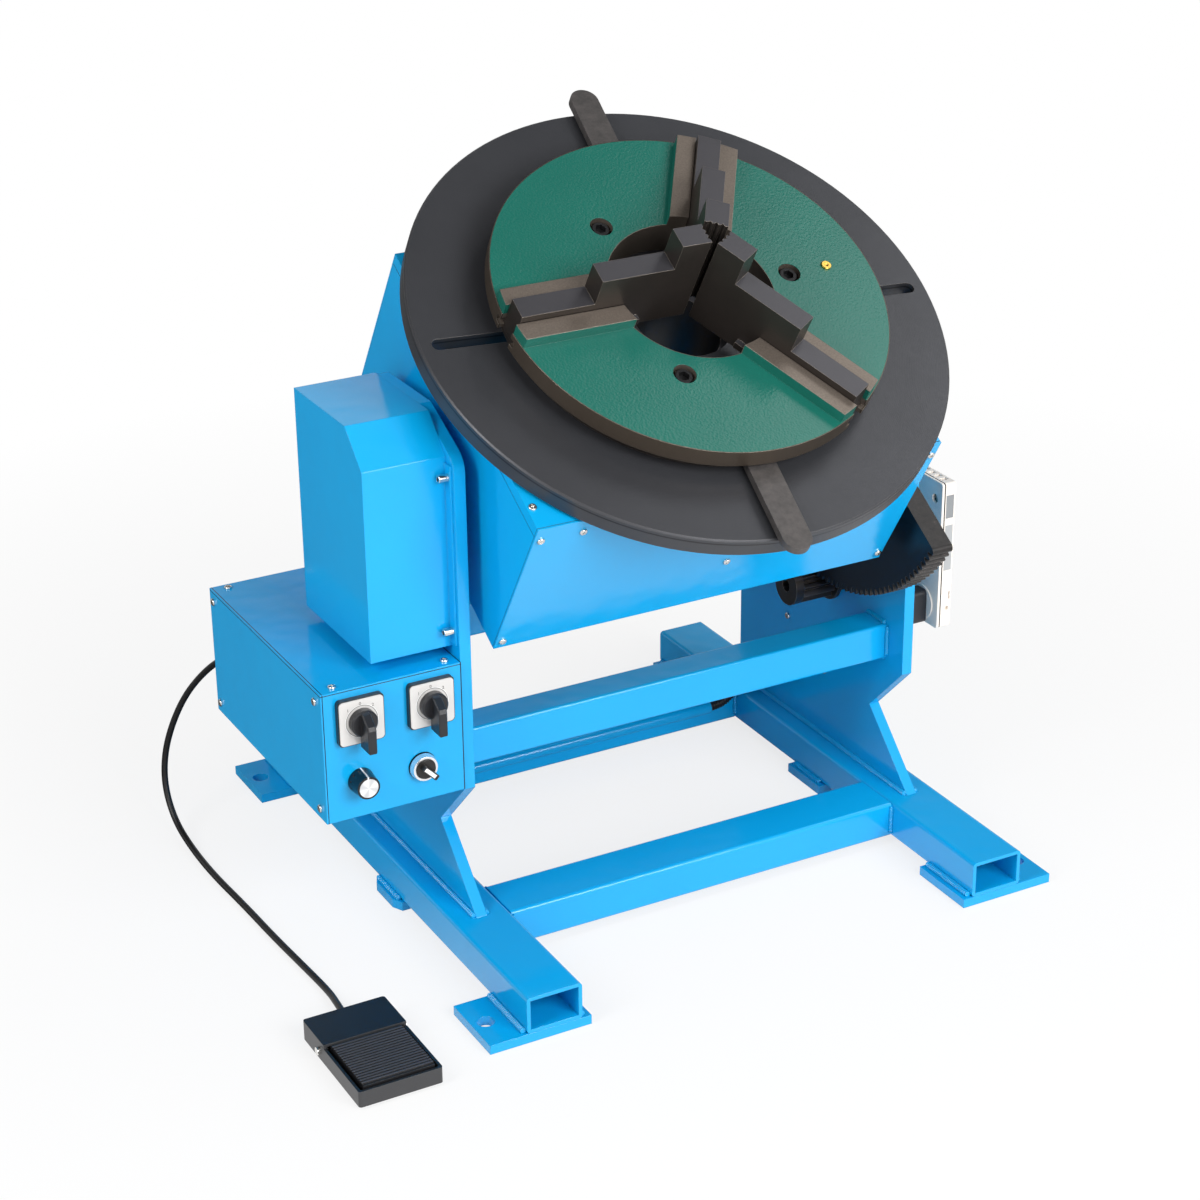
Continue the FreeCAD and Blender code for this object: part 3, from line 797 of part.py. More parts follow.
pieces["treadle"] = tread.removeSplitter()
pin = rod((PEDAL_LEFT - 3, PEDAL_PIN_Y, PEDAL_PIN_Z), (1, 0, 0), PEDAL_PIN_RADIUS, PEDAL_RIGHT - PEDAL_LEFT + 6)
for x in (PEDAL_LEFT - 3.5, PEDAL_RIGHT):
    pin = pin.fuse(rod((x, PEDAL_PIN_Y, PEDAL_PIN_Z), (1, 0, 0), 4, 3.5))
pieces["pedal_pin"] = pin
pieces["pedal_feet"] = Part.makeCompound([
    rod((x, y, 0), (0, 0, 1), 6, PEDAL_BOTTOM) for x in (PEDAL_LEFT + 14, PEDAL_RIGHT - 14)
    for y in (PEDAL_FRONT + 14, PEDAL_REAR - 14)])

cord, cord_length, cord_bends = cord_tube(CORD_ROUTE, CORD_RADIUS)
pieces["foot_switch_cord"] = cord

# ---------------------------------------------------------------- left upright last: it carries the box
pieces["left_upright"] = drilled(left_plate, cover_screws)

os.makedirs("parts", exist_ok=True)
for name, shape in sorted(pieces.items()):
    shape.exportStep("parts/" + name + ".step")
    print("%-22s solids %d valid %s volume %.0f" % (name, len(shape.Solids), shape.isValid(), shape.Volume))
print("foot_switch_cord length %.0f, bend radii" % cord_length, cord_bends)
print("cord volume %.0f, section times length %.0f" % (cord.Volume, math.pi * CORD_RADIUS ** 2 * cord_length))
print("pinion centre y %.3f z %.3f" % (PINION_Y, PINION_Z), "pieces", len(pieces))
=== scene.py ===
import bpy
import math
from mathutils import Matrix, Vector


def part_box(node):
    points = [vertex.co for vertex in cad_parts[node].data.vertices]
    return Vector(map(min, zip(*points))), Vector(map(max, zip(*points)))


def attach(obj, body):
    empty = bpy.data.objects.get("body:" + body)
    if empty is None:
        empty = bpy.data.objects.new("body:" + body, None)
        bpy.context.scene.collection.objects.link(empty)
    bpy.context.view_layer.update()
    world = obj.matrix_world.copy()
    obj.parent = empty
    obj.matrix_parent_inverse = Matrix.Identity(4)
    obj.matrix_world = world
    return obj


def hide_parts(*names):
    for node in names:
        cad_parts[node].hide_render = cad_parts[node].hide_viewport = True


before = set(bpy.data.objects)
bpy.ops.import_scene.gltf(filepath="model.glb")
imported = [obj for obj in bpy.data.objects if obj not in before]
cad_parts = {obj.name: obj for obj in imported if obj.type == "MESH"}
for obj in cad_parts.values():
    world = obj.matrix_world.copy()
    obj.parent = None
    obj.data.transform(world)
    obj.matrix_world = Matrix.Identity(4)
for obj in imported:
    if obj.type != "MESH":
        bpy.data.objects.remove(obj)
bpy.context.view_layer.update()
scene = bpy.context.scene

# ------------------------------------------------------------------ camera
# A long lens in front of the machine, to its left and well above the table. It looks down at
# about 24 degrees and leans by a little over half a degree.
CAMERA_PLACE = (-1.2725, -2.3051, 1.4689)
CAMERA_AZIMUTH = math.radians(-28.33)
CAMERA_ELEVATION = math.radians(24.42)
CAMERA_ROLL = math.radians(-0.6)
SENSOR_MM = 36.0
LENS_MM = 81.79
FAR_CLIP = 50.0
right = Vector((math.cos(CAMERA_AZIMUTH), math.sin(CAMERA_AZIMUTH), 0.0))
back = Vector((math.sin(CAMERA_AZIMUTH) * math.cos(CAMERA_ELEVATION),
               -math.cos(CAMERA_AZIMUTH) * math.cos(CAMERA_ELEVATION), math.sin(CAMERA_ELEVATION)))
up = back.cross(right)
rolled_right = right * math.cos(CAMERA_ROLL) + up * math.sin(CAMERA_ROLL)
rolled_up = up * math.cos(CAMERA_ROLL) - right * math.sin(CAMERA_ROLL)
camera = bpy.data.objects.new("camera", bpy.data.cameras.new("camera"))
camera.data.sensor_width = SENSOR_MM
camera.data.lens = LENS_MM
camera.data.clip_end = FAR_CLIP
turn = Matrix((rolled_right, rolled_up, back)).transposed().to_4x4()
camera.matrix_world = Matrix.Translation(CAMERA_PLACE) @ turn
scene.collection.objects.link(camera)
scene.camera = camera


# ------------------------------------------------------------------ studio
# White seamless paper under three soft boxes, with a white wall before it and a dark ceiling
# over it. Gloss enamel mirrors the paper and the wall, and faces that lie level the ceiling.
def linear(code):
    """A hex sRGB colour as the linear RGBA that a shader takes."""
    channels = [int(code[i:i + 2], 16) / 255 for i in (1, 3, 5)]
    return tuple(c / 12.92 if c <= 0.04045 else ((c + 0.055) / 1.055) ** 2.4 for c in channels) + (1.0,)


def add(tree, kind, sockets, out=0, stops=(), **settings):
    """Add a shader node and return one of its outputs.

    sockets maps names or numbers to values or to outputs of other nodes. stops holds the places
    of a colour ramp, each with a grey level or a colour. A Mix takes its share at 0 and its colours
    at 6 and 7, and gives the result at 2.
    """
    node = tree.nodes.new("ShaderNode" + kind)
    for setting, value in settings.items():
        setattr(node, setting, value)
    for socket, value in sockets.items():
        if isinstance(value, bpy.types.NodeSocket):
            tree.links.new(value, node.inputs[socket])
        else:
            node.inputs[socket].default_value = value
    for i, (place, colour) in enumerate(stops):
        element = node.color_ramp.elements[i] if i < 2 else node.color_ramp.elements.new(place)
        element.position = place
        element.color = (colour,) * 3 + (1.0,) if isinstance(colour, float) else colour
    return node.outputs[out]


WHITE = (1.0, 1.0, 1.0, 1.0)
scene.view_settings.view_transform = "Standard"
world = bpy.data.worlds.new("studio")
scene.world = world
world.use_nodes = True
sky = world.node_tree
toward = add(sky, "TexCoord", {}, "Generated")
rise = add(sky, "SeparateXYZ", {0: toward}, "Z")
height = add(sky, "Math", {0: rise, 1: 0.5, 2: 0.5}, operation="MULTIPLY_ADD")
depth = add(sky, "SeparateXYZ", {0: toward}, "Y")
nearness = add(sky, "Math", {0: depth, 1: -0.5, 2: 0.5}, operation="MULTIPLY_ADD")
soft_light = add(sky, "ValToRGB", {0: height}, stops=[(0.0, 0.75), (0.5, 0.60), (1.0, 0.20)])
ceiling = add(sky, "ValToRGB", {0: height}, stops=[(0.0, 0.8), (0.675, 0.8), (0.735, 0.16), (1.0, 0.03)])
front_wall = add(sky, "ValToRGB", {0: nearness}, stops=[(0.60, 0.0), (0.72, 0.8)])
mirrored = add(sky, "Mix", {0: 1.0, 6: ceiling, 7: front_wall}, 2, data_type="RGBA", blend_type="LIGHTEN")
shiny = add(sky, "Math", {0: add(sky, "LightPath", {}, "Is Glossy Ray"),
                          1: add(sky, "LightPath", {}, "Is Transmission Ray")}, operation="MAXIMUM")
unseen = add(sky, "Mix", {0: shiny, 6: soft_light, 7: mirrored}, 2, data_type="RGBA")
backdrop = add(sky, "Mix", {0: add(sky, "LightPath", {}, "Is Camera Ray"), 6: unseen, 7: WHITE}, 2,
               data_type="RGBA")
sky.links.new(backdrop, sky.nodes["Background"].inputs["Color"])


def soft_box(name, place, target, size, watts):
    """A rectangular lamp at a place, turned to a target."""
    lamp = bpy.data.lights.new(name, "AREA")
    lamp.shape = "RECTANGLE"
    lamp.size, lamp.size_y = size
    lamp.energy = watts
    holder = bpy.data.objects.new(name, lamp)
    holder.location = place
    holder.rotation_mode = "QUATERNION"
    holder.rotation_quaternion = (Vector(target) - Vector(place)).to_track_quat("-Z", "Y")
    scene.collection.objects.link(holder)


soft_box("front_box", (0.6, -3.2, 1.9), (0, 0, 0.35), (2.2, 1.6), 110.0)
soft_box("top_box", (1.75, -0.3, 2.4), (0, 0, 0.5), (0.9, 1.6), 11.0)
soft_box("left_strip", (-2.6, -0.8, 2.1), (0, 0, 0.4), (0.8, 1.8), 42.0)

# Matt paper. It is fully white where the shadow of the machine doesn't reach, and what mirrors it
# finds it bright in front of the machine and dark behind.
FLOOR_REACH = 12.0
FLOOR_SINK = 0.0005
SHADOW_REACH = 2.0
paper = bpy.data.materials.new("white seamless paper, matt")
paper.use_nodes = True
tree = paper.node_tree
bsdf = tree.nodes["Principled BSDF"]
bsdf.inputs["Base Color"].default_value = linear("#F2F2F2")
bsdf.inputs["Roughness"].default_value = 0.9
glossy = add(tree, "LightPath", {}, "Is Glossy Ray")
spot = add(tree, "TexCoord", {}, "Object")
far = add(tree, "VectorMath", {0: spot}, "Value", operation="LENGTH")
far = add(tree, "Math", {0: far, 1: SHADOW_REACH}, operation="DIVIDE")
clear = add(tree, "ValToRGB", {0: far}, stops=[(0.2, 0.78), (0.75, 1.0)])
seen = add(tree, "LightPath", {}, "Is Camera Ray")
clear = add(tree, "Math", {0: seen, 1: clear}, operation="MULTIPLY")
depth = add(tree, "SeparateXYZ", {0: spot}, "Y")
depth = add(tree, "Math", {0: depth, 1: 0.5, 2: 0.5}, operation="MULTIPLY_ADD")
mirrored = add(tree, "ValToRGB", {0: depth}, stops=[(0.40, 1.0), (0.53, 0.12)])
glow = add(tree, "Mix", {0: glossy, 6: WHITE, 7: mirrored}, 2, data_type="RGBA")
share = add(tree, "Math", {0: clear, 1: glossy}, operation="MAXIMUM")
lit = add(tree, "MixShader", {0: share, 1: bsdf.outputs[0], 2: add(tree, "Emission", {"Color": glow})})
tree.links.new(lit, tree.nodes["Material Output"].inputs["Surface"])
floor_mesh = bpy.data.meshes.new("floor")
floor_corners = [(x * FLOOR_REACH, y * FLOOR_REACH, 0) for x, y in ((-1, -1), (1, -1), (1, 1), (-1, 1))]
floor_mesh.from_pydata(floor_corners, [], [(0, 1, 2, 3)])
floor_mesh.materials.append(paper)
floor = bpy.data.objects.new("floor", floor_mesh)
floor.location.z = -FLOOR_SINK
scene.collection.objects.link(floor)


# ------------------------------------------------------------------ welded base frame
# Rectangular steel tubes, foot plates, two plate uprights and two tie beams, welded together and
# stoved in sky-blue enamel. The conduit pipe along the rear cross tube is painted with them.
def new_material(name, **shader):
    """A material with its tree and shader. Keywords set sockets, with _ for a space."""
    material = bpy.data.materials.new(name)
    material.use_nodes = True
    tree = material.node_tree
    bsdf = tree.nodes["Principled BSDF"]
    for socket, value in shader.items():
        bsdf.inputs[socket.replace("_", " ")].default_value = value
    return material, tree, bsdf


def relief(tree, bsdf, height, depth, edge=0.0):
    """Bump of that depth in metres, over edges that look rounded by edge metres."""
    sockets = {"Height": height, "Distance": depth}
    if edge:
        sockets["Normal"] = add(tree, "Bevel", {"Radius": edge}, samples=4)
    tree.links.new(add(tree, "Bump", sockets), bsdf.inputs["Normal"])


def give(material, *nodes):
    """Put one material on all of each node."""
    for node in nodes:
        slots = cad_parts[node].data.materials
        if len(slots):
            for i in range(len(slots)):
                slots[i] = material
        else:
            slots.append(material)


PER_MM = 1000.0  # scale of a pattern that is one millimetre wide


def blue_enamel(name, seams=None):
    """Gloss stoving enamel, whose slow waves and slight orange peel bend what it mirrors.

    seams(tree, point) gives 1 along the dark joints between sheets.
    """
    material, tree, bsdf = new_material(name, Roughness=0.13, IOR=1.5)
    point = add(tree, "TexCoord", {}, "Object")
    cloud = add(tree, "TexNoise", {"Vector": point, "Scale": PER_MM / 160, "Detail": 2.0})
    colour = add(tree, "Mix", {0: cloud, 6: linear("#06A0DE"), 7: linear("#0AA9E6")}, 2, data_type="RGBA")
    if seams:
        joint = seams(tree, point)
        colour = add(tree, "Mix", {0: joint, 6: colour, 7: linear("#04283C")}, 2, data_type="RGBA")
    tree.links.new(colour, bsdf.inputs["Base Color"])
    waves = add(tree, "TexNoise", {"Vector": point, "Scale": PER_MM / 34, "Detail": 1.0})
    peel = add(tree, "TexNoise", {"Vector": point, "Scale": PER_MM / 2.6, "Detail": 2.0})
    skin = add(tree, "Math", {0: peel, 1: 0.07, 2: waves}, operation="MULTIPLY_ADD")
    relief(tree, bsdf, skin, 0.0004, edge=0.0011)
    return material


frame_enamel = blue_enamel("sky-blue gloss stoving enamel on welded tube")
give(frame_enamel, "left_foot_tube", "right_foot_tube", "cross_tubes", "foot_plates", "mid_foot_plates",
     "left_upright", "right_upright", "tie_beam", "conduit_pipe")


# ------------------------------------------------------------------ weld beads
# Hand-laid fillet welds, painted over: along the foot of the uprights, beside the foot plates, at
# the ends of the cross tubes and round the tie beams. Each is a row of small stacked drops.
def lowest(node):
    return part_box(node)[0]


def highest(node):
    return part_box(node)[1]


def make(name, points, faces, material, body):
    """A new smooth piece from plain points and faces, riding on a body."""
    mesh = bpy.data.meshes.new(name)
    mesh.from_pydata([tuple(p) for p in points], [], faces)
    mesh.validate()
    mesh.update()
    mesh.materials.append(material)
    piece = bpy.data.objects.new(name, mesh)
    scene.collection.objects.link(piece)
    for polygon in mesh.polygons:
        polygon.use_smooth = True
    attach(piece, body)
    return piece


DROP_PITCH = 0.0030
DROP_STEPS = 5
DROP_VALLEY = 0.80
DROP_SWELL = 0.28
DROP_LAG = 0.7
ARC_STEPS = 4
BEAD_ROOT = 0.0004
UPRIGHT_LEG = 0.0042
PLATE_LEG = 0.0050
MID_LEG = 0.0042
TUBE_LEG = 0.0034
UPRIGHT_STOP = 0.002
PLATE_STOP = 0.003
MID_STOP = 0.006
CORNER_RISE = 0.005
CORNER_STOP = 0.004
FOOT_PLATE_LENGTH = 0.080
CROSS_TUBE_WIDTH = 0.060
TIE_BEAM_WIDTH = 0.040
bead_points = []
bead_faces = []


def weld_bead(start, end, one_side, other_side, leg):
    """A fillet from start to end, in the corner between two unit directions that lead out of it."""
    start, end, one_side, other_side = Vector(start), Vector(end), Vector(one_side), Vector(other_side)
    along = (end - start).normalized()
    count = max(2, round((end - start).length / DROP_PITCH)) * DROP_STEPS
    rings = []
    for i in range(count + 1):
        phase = (i % DROP_STEPS) / DROP_STEPS
        swell = leg * (DROP_VALLEY + DROP_SWELL * math.sin(math.pi * phase))
        middle = start + (end - start) * i / count
        first = len(bead_points)
        bead_points.append(middle - (one_side + other_side) * BEAD_ROOT)
        for k in range(ARC_STEPS + 1):
            angle = math.pi / 2 * k / ARC_STEPS
            lag = along * (DROP_PITCH * DROP_LAG * math.sin(2 * angle))
            outward = one_side * math.cos(angle) + other_side * math.sin(angle)
            bead_points.append(middle + lag + outward * swell)
        rings.append(list(range(first, len(bead_points))))
    corners = len(rings[0])
    for a, b in zip(rings, rings[1:]):
        for k in range(corners):
            bead_faces.append((a[k], a[(k + 1) % corners], b[(k + 1) % corners], b[k]))
    bead_faces.append(tuple(reversed(rings[0])))
    bead_faces.append(tuple(rings[-1]))


tube_top = highest("left_foot_tube").z
plate_top = highest("foot_plates").z
for side, tube, upright in ((-1, "left_foot_tube", "left_upright"), (1, "right_foot_tube", "right_upright")):
    upright_faces = sorted((lowest(upright).x, highest(upright).x), key=abs)
    tube_faces = sorted((lowest(tube).x, highest(tube).x), key=abs)
    for x, out in zip(upright_faces, (-side, side)):
        weld_bead((x, lowest(upright).y + UPRIGHT_STOP, tube_top),
                  (x, highest(upright).y - UPRIGHT_STOP, tube_top), (0, 0, 1), (out, 0, 0), UPRIGHT_LEG)
    for end in (-1, 1):
        outer = highest(tube).y * end
        inner = outer - FOOT_PLATE_LENGTH * end
        for x, out in zip(tube_faces, (-side, side)):
            weld_bead((x, outer - PLATE_STOP * end, plate_top), (x, inner + PLATE_STOP * end, plate_top),
                      (0, 0, 1), (out, 0, 0), PLATE_LEG)
    for x, out in zip(tube_faces, (-side, side)):
        weld_bead((x, lowest("mid_foot_plates").y + MID_STOP, plate_top),
                  (x, highest("mid_foot_plates").y - MID_STOP, plate_top), (0, 0, 1), (out, 0, 0), MID_LEG)
    front, rear = lowest("cross_tubes").y, highest("cross_tubes").y
    for y, out in ((front, -1), (front + CROSS_TUBE_WIDTH, 1), (rear - CROSS_TUBE_WIDTH, -1), (rear, 1)):
        weld_bead((tube_faces[0], y, plate_top + CORNER_RISE), (tube_faces[0], y, tube_top - CORNER_STOP),
                  (-side, 0, 0), (0, out, 0), TUBE_LEG)
    x = upright_faces[0]
    for y, low in ((lowest("tie_beam").y, lowest("tie_beam").z),
                   (highest("tie_beam").y - TIE_BEAM_WIDTH, highest("tie_beam").z - TIE_BEAM_WIDTH)):
        high = low + TIE_BEAM_WIDTH
        for z, out in ((low, -1), (high, 1)):
            weld_bead((x, y + PLATE_STOP, z), (x, y + TIE_BEAM_WIDTH - PLATE_STOP, z), (-side, 0, 0),
                      (0, 0, out), TUBE_LEG)
        weld_bead((x, y, low + PLATE_STOP), (x, y, high - PLATE_STOP), (-side, 0, 0), (0, -1, 0), TUBE_LEG)

make("weld_beads", bead_points, bead_faces, frame_enamel, "base")

# ------------------------------------------------------------------ cable hose
# Corrugated nylon hose, 12 mm thick, that leads the motor's cable from the end of the conduit pipe
# to the foot of the right upright. It is pushed into the pipe and rises in one bend.
HOSE_RADIUS = 0.006
RIB_PITCH = 0.0032
RIB_HEIGHT = 0.0006
RIB_FLAT = 0.7
RIB_STEEPNESS = 1.6
RIB_STEPS = 8
HOSE_SIDES = 20
HOSE_ROUTE = [
    (0.180, 0.141, 0.038), (0.196, 0.141, 0.038), (0.212, 0.141, 0.042), (0.226, 0.141, 0.055),
    (0.240, 0.141, 0.060), (0.2535, 0.141, 0.060)]
# Satin nylon: a soft highlight along each rib.
hose_nylon, tree, bsdf = new_material("black corrugated nylon hose", Base_Color=linear("#17181B"),
                                      Roughness=0.38)
point = add(tree, "TexCoord", {}, "Object")
relief(tree, bsdf, add(tree, "TexNoise", {"Vector": point, "Scale": PER_MM, "Detail": 3.0}), 0.00004)


def soft_line(name, route, segment_steps):
    """A curve that runs softly along a route and meets both its ends."""
    line = bpy.data.curves.new(name, "CURVE")
    line.dimensions = "3D"
    line.resolution_u = segment_steps
    spline = line.splines.new("NURBS")
    spline.points.add(len(route) - 1)
    for point, place in zip(spline.points, route):
        point.co = (*place, 1.0)
    spline.order_u = 3
    spline.use_endpoint_u = True
    holder = bpy.data.objects.new(name, line)
    scene.collection.objects.link(holder)
    return holder


guide = soft_line("hose_guide", HOSE_ROUTE, 24)
followed = bpy.data.meshes.new_from_object(guide.evaluated_get(bpy.context.evaluated_depsgraph_get()))
path = [v.co.copy() for v in followed.vertices]
bpy.data.objects.remove(guide)
stations = []
for a, b in zip(path, path[1:]):
    steps = max(1, round((b - a).length / (RIB_PITCH / RIB_STEPS)))
    stations += [(a.lerp(b, i / steps), (b - a).normalized()) for i in range(steps)]
points = []
travelled = 0.0
for i, (centre, along) in enumerate(stations):
    if i:
        travelled += (centre - stations[i - 1][0]).length
    side = Vector((0, 1, 0))
    over = along.cross(side).normalized()
    wave = RIB_STEEPNESS * math.sin(2 * math.pi * travelled / RIB_PITCH)
    radius = HOSE_RADIUS - RIB_HEIGHT + RIB_HEIGHT * max(-RIB_FLAT, min(RIB_FLAT, wave)) / RIB_FLAT
    for k in range(HOSE_SIDES):
        angle = 2 * math.pi * k / HOSE_SIDES
        points.append(centre + (side * math.cos(angle) + over * math.sin(angle)) * radius)
faces = []
for i in range(len(stations) - 1):
    for k in range(HOSE_SIDES):
        a, b = i * HOSE_SIDES + k, i * HOSE_SIDES + (k + 1) % HOSE_SIDES
        faces.append((a, b, b + HOSE_SIDES, a + HOSE_SIDES))
faces.append(tuple(reversed(range(HOSE_SIDES))))
faces.append(tuple(range(len(points) - HOSE_SIDES, len(points))))
hose = make("ribbed_hose", points, faces, hose_nylon, "base")
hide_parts("conduit_hose")

# ------------------------------------------------------------------ control box and trunnion cover
# Folded steel sheet, 2 mm thick, fixed to the outside of the left upright, in the same enamel. The
# lid laps the chassis, so a thin dark line runs along the front edges of its top and its side.
LID_SHEET = 0.002
LID_GAP = 0.00045
UPRIGHT_GAP = 0.0011
box_left = lowest("control_box_cover").x + LID_SHEET
box_top = highest("control_box_cover").z - LID_SHEET
box_right = highest("control_box_chassis").x


def box_seams(tree, point):
    """1 along the lid's edges and where the box meets the upright."""
    x = add(tree, "SeparateXYZ", {0: point}, "X")
    z = add(tree, "SeparateXYZ", {0: point}, "Z")
    left = add(tree, "Math", {0: x, 1: box_left, 2: LID_GAP}, operation="COMPARE")
    top = add(tree, "Math", {0: z, 1: box_top, 2: LID_GAP}, operation="COMPARE")
    right = add(tree, "Math", {0: x, 1: box_right, 2: UPRIGHT_GAP}, operation="COMPARE")
    lid = add(tree, "Math", {0: left, 1: top}, operation="MAXIMUM")
    return add(tree, "Math", {0: lid, 1: right}, operation="MAXIMUM")


give(blue_enamel("sky-blue gloss stoving enamel on folded sheet", box_seams), "control_box_chassis",
     "control_box_cover")
give(frame_enamel, "trunnion_cover")

# ------------------------------------------------------------------ cradle
# Box of 12 mm cheeks and a thick top plate, closed by screwed sheet at the front and the rear, in
# the same enamel. The edges of the sheet and of the plate show as thin dark lines on the cheeks.
TILT = math.radians(32.0)
AXES_MEET = Vector((0.0, -0.042, 0.501))
PANEL_FRONT = -0.190
CRADLE_UNDER_TOP = 0.109
PANEL_GAP = 0.0005
PLATE_GAP = 0.0004


def level_place(tree):
    """The point in the cradle's own level frame, in metres: x along the tilt axis, z along the spin."""
    point = add(tree, "TexCoord", {}, "Object")
    moved = add(tree, "VectorMath", {0: point, 1: AXES_MEET}, operation="SUBTRACT")
    return add(tree, "VectorRotate", {"Vector": moved, "Angle": -TILT}, rotation_type="X_AXIS")


def cradle_seams(tree, point):
    """1 along the joints of the front sheet and of the top plate."""
    level = level_place(tree)
    y = add(tree, "SeparateXYZ", {0: level}, "Y")
    z = add(tree, "SeparateXYZ", {0: level}, "Z")
    sheet = add(tree, "Math", {0: y, 1: PANEL_FRONT, 2: PANEL_GAP}, operation="COMPARE")
    plate = add(tree, "Math", {0: z, 1: CRADLE_UNDER_TOP, 2: PLATE_GAP}, operation="COMPARE")
    return add(tree, "Math", {0: sheet, 1: plate}, operation="MAXIMUM")


give(blue_enamel("sky-blue gloss stoving enamel on cradle plates", cradle_seams), "cradle_left_cheek",
     "cradle_right_cheek", "cradle_top_plate")
give(frame_enamel, "cradle_front_panel", "cradle_rear_panel")

# ------------------------------------------------------------------ rotating table
# Steel disc, 550 mm across and 22 mm thick, faced on a lathe, slotted on a mill and blackened. Its
# rim carries one turned line.
TABLE_TOP = 0.1455
RING_PITCH_MM = 0.9
RIM_LINE = -0.0055
RIM_LINE_WIDTH = 0.0009


def radius_and_height(tree):
    """Distance from the spin axis, height above the table's top, and the level point itself."""
    level = level_place(tree)
    flat = add(tree, "CombineXYZ", {0: add(tree, "SeparateXYZ", {0: level}, "X"),
                                    1: add(tree, "SeparateXYZ", {0: level}, "Y")})
    radius = add(tree, "VectorMath", {0: flat}, "Value", operation="LENGTH")
    height = add(tree, "SeparateXYZ", {0: level}, "Z")
    return radius, add(tree, "Math", {0: height, 1: TABLE_TOP}, operation="SUBTRACT"), level


def worn_edges(tree, radius, share):
    """Up to share along sharp edges: how far the rounded normal leaves the true one."""
    rounded = add(tree, "Bevel", {"Radius": radius}, samples=4)
    true = add(tree, "NewGeometry", {}, "True Normal")
    facing = add(tree, "VectorMath", {0: rounded, 1: true}, "Value", operation="DOT_PRODUCT")
    away = add(tree, "Math", {0: 1.0, 1: facing}, operation="SUBTRACT")
    edge = add(tree, "ValToRGB", {0: away}, stops=[(0.03, 0.0), (0.25, 1.0)])
    return add(tree, "Math", {0: edge, 1: share}, operation="MULTIPLY")


# Black oxide: satin and a little cloudy, with light edges where it is worn. The tool's rings are
# drawn three times as wide as the real ones, so that they show.
table_steel, tree, bsdf = new_material("black-oxide steel, lathe-turned", Metallic=0.45)
radius, above_top, level = radius_and_height(tree)
rings = add(tree, "TexWave", {"Vector": add(tree, "CombineXYZ", {0: radius}),
                              "Scale": PER_MM / RING_PITCH_MM / (2 * math.pi)}, "Color", bands_direction="X")
cloud = add(tree, "TexNoise", {"Vector": level, "Scale": PER_MM / 60, "Detail": 4.0})
oxide = add(tree, "Mix", {0: cloud, 6: linear("#3E3F43"), 7: linear("#46474B")}, 2, data_type="RGBA")
rim_line = add(tree, "Math", {0: above_top, 1: RIM_LINE, 2: RIM_LINE_WIDTH}, operation="COMPARE")
oxide = add(tree, "Mix", {0: rim_line, 6: oxide, 7: linear("#232326")}, 2, data_type="RGBA")
oxide = add(tree, "Mix", {0: worn_edges(tree, 0.0010, 0.55), 6: oxide, 7: linear("#8B8580")}, 2,
            data_type="RGBA")
tree.links.new(oxide, bsdf.inputs["Base Color"])
grain = add(tree, "TexNoise", {"Vector": level, "Scale": PER_MM / 3, "Detail": 3.0})
tree.links.new(add(tree, "ValToRGB", {0: grain}, stops=[(0.3, 0.34), (0.7, 0.42)]), bsdf.inputs["Roughness"])
relief(tree, bsdf, rings, 0.00002, edge=0.0008)
give(table_steel, "faceplate")

# ------------------------------------------------------------------ chuck body
# Cast-iron self-centring chuck, 400 mm across, bolted to the table through three counterbores. Its
# face and the flanks of the jaw guides are painted; the rim, the guides and the bore are machined.
FACE_LOW, FACE_HIGH = 0.0361, 0.0480
BORE_EDGE, FACE_EDGE = 0.0856, 0.1992
RIM_START = 0.1985
chuck_paint, tree, bsdf = new_material("green hammered enamel on machined cast iron")
radius, above_top, level = radius_and_height(tree)
in_height = add(tree, "Math", {0: above_top, 1: (FACE_LOW + FACE_HIGH) / 2, 2: (FACE_HIGH - FACE_LOW) / 2},
                operation="COMPARE")
on_face = add(tree, "Math", {0: radius, 1: (BORE_EDGE + FACE_EDGE) / 2, 2: (FACE_EDGE - BORE_EDGE) / 2},
              operation="COMPARE")
painted = add(tree, "Math", {0: in_height, 1: on_face}, operation="MULTIPLY")
# Hammered enamel: dimples of about 2 mm, each a little lighter at its middle.
dimples = add(tree, "TexVoronoi", {"Vector": level, "Scale": PER_MM / 2.2}, "Distance", feature="SMOOTH_F1")
cloud = add(tree, "TexNoise", {"Vector": level, "Scale": PER_MM / 90, "Detail": 2.0})
green = add(tree, "Mix", {0: cloud, 6: linear("#145F53"), 7: linear("#18675A")}, 2, data_type="RGBA")
lighter = add(tree, "Math", {0: dimples, 1: 0.25}, operation="MULTIPLY")
green = add(tree, "Mix", {0: lighter, 6: green, 7: linear("#1F7364")}, 2, data_type="RGBA")
# Ground cast iron: brown-grey, with lines across that are drawn coarser than real, and a darker
# turned rim.
stretched = add(tree, "Mapping", {"Vector": level, "Scale": (1.0, 1.0, 9.0)})
grain = add(tree, "TexNoise", {"Vector": stretched, "Scale": PER_MM / 1.6, "Detail": 4.0})
iron = add(tree, "Mix", {0: grain, 6: linear("#655C53"), 7: linear("#8D8278")}, 2, data_type="RGBA")
rim_iron = add(tree, "Mix", {0: grain, 6: linear("#4B4239"), 7: linear("#5F554A")}, 2, data_type="RGBA")
on_rim = add(tree, "Math", {0: radius, 1: RIM_START}, operation="GREATER_THAN")
iron = add(tree, "Mix", {0: on_rim, 6: iron, 7: rim_iron}, 2, data_type="RGBA")
iron = add(tree, "Mix", {0: worn_edges(tree, 0.0008, 0.5), 6: iron, 7: linear("#C9C0B4")}, 2,
           data_type="RGBA")
skin = add(tree, "Mix", {0: painted, 6: iron, 7: green}, 2, data_type="RGBA")
tree.links.new(skin, bsdf.inputs["Base Color"])
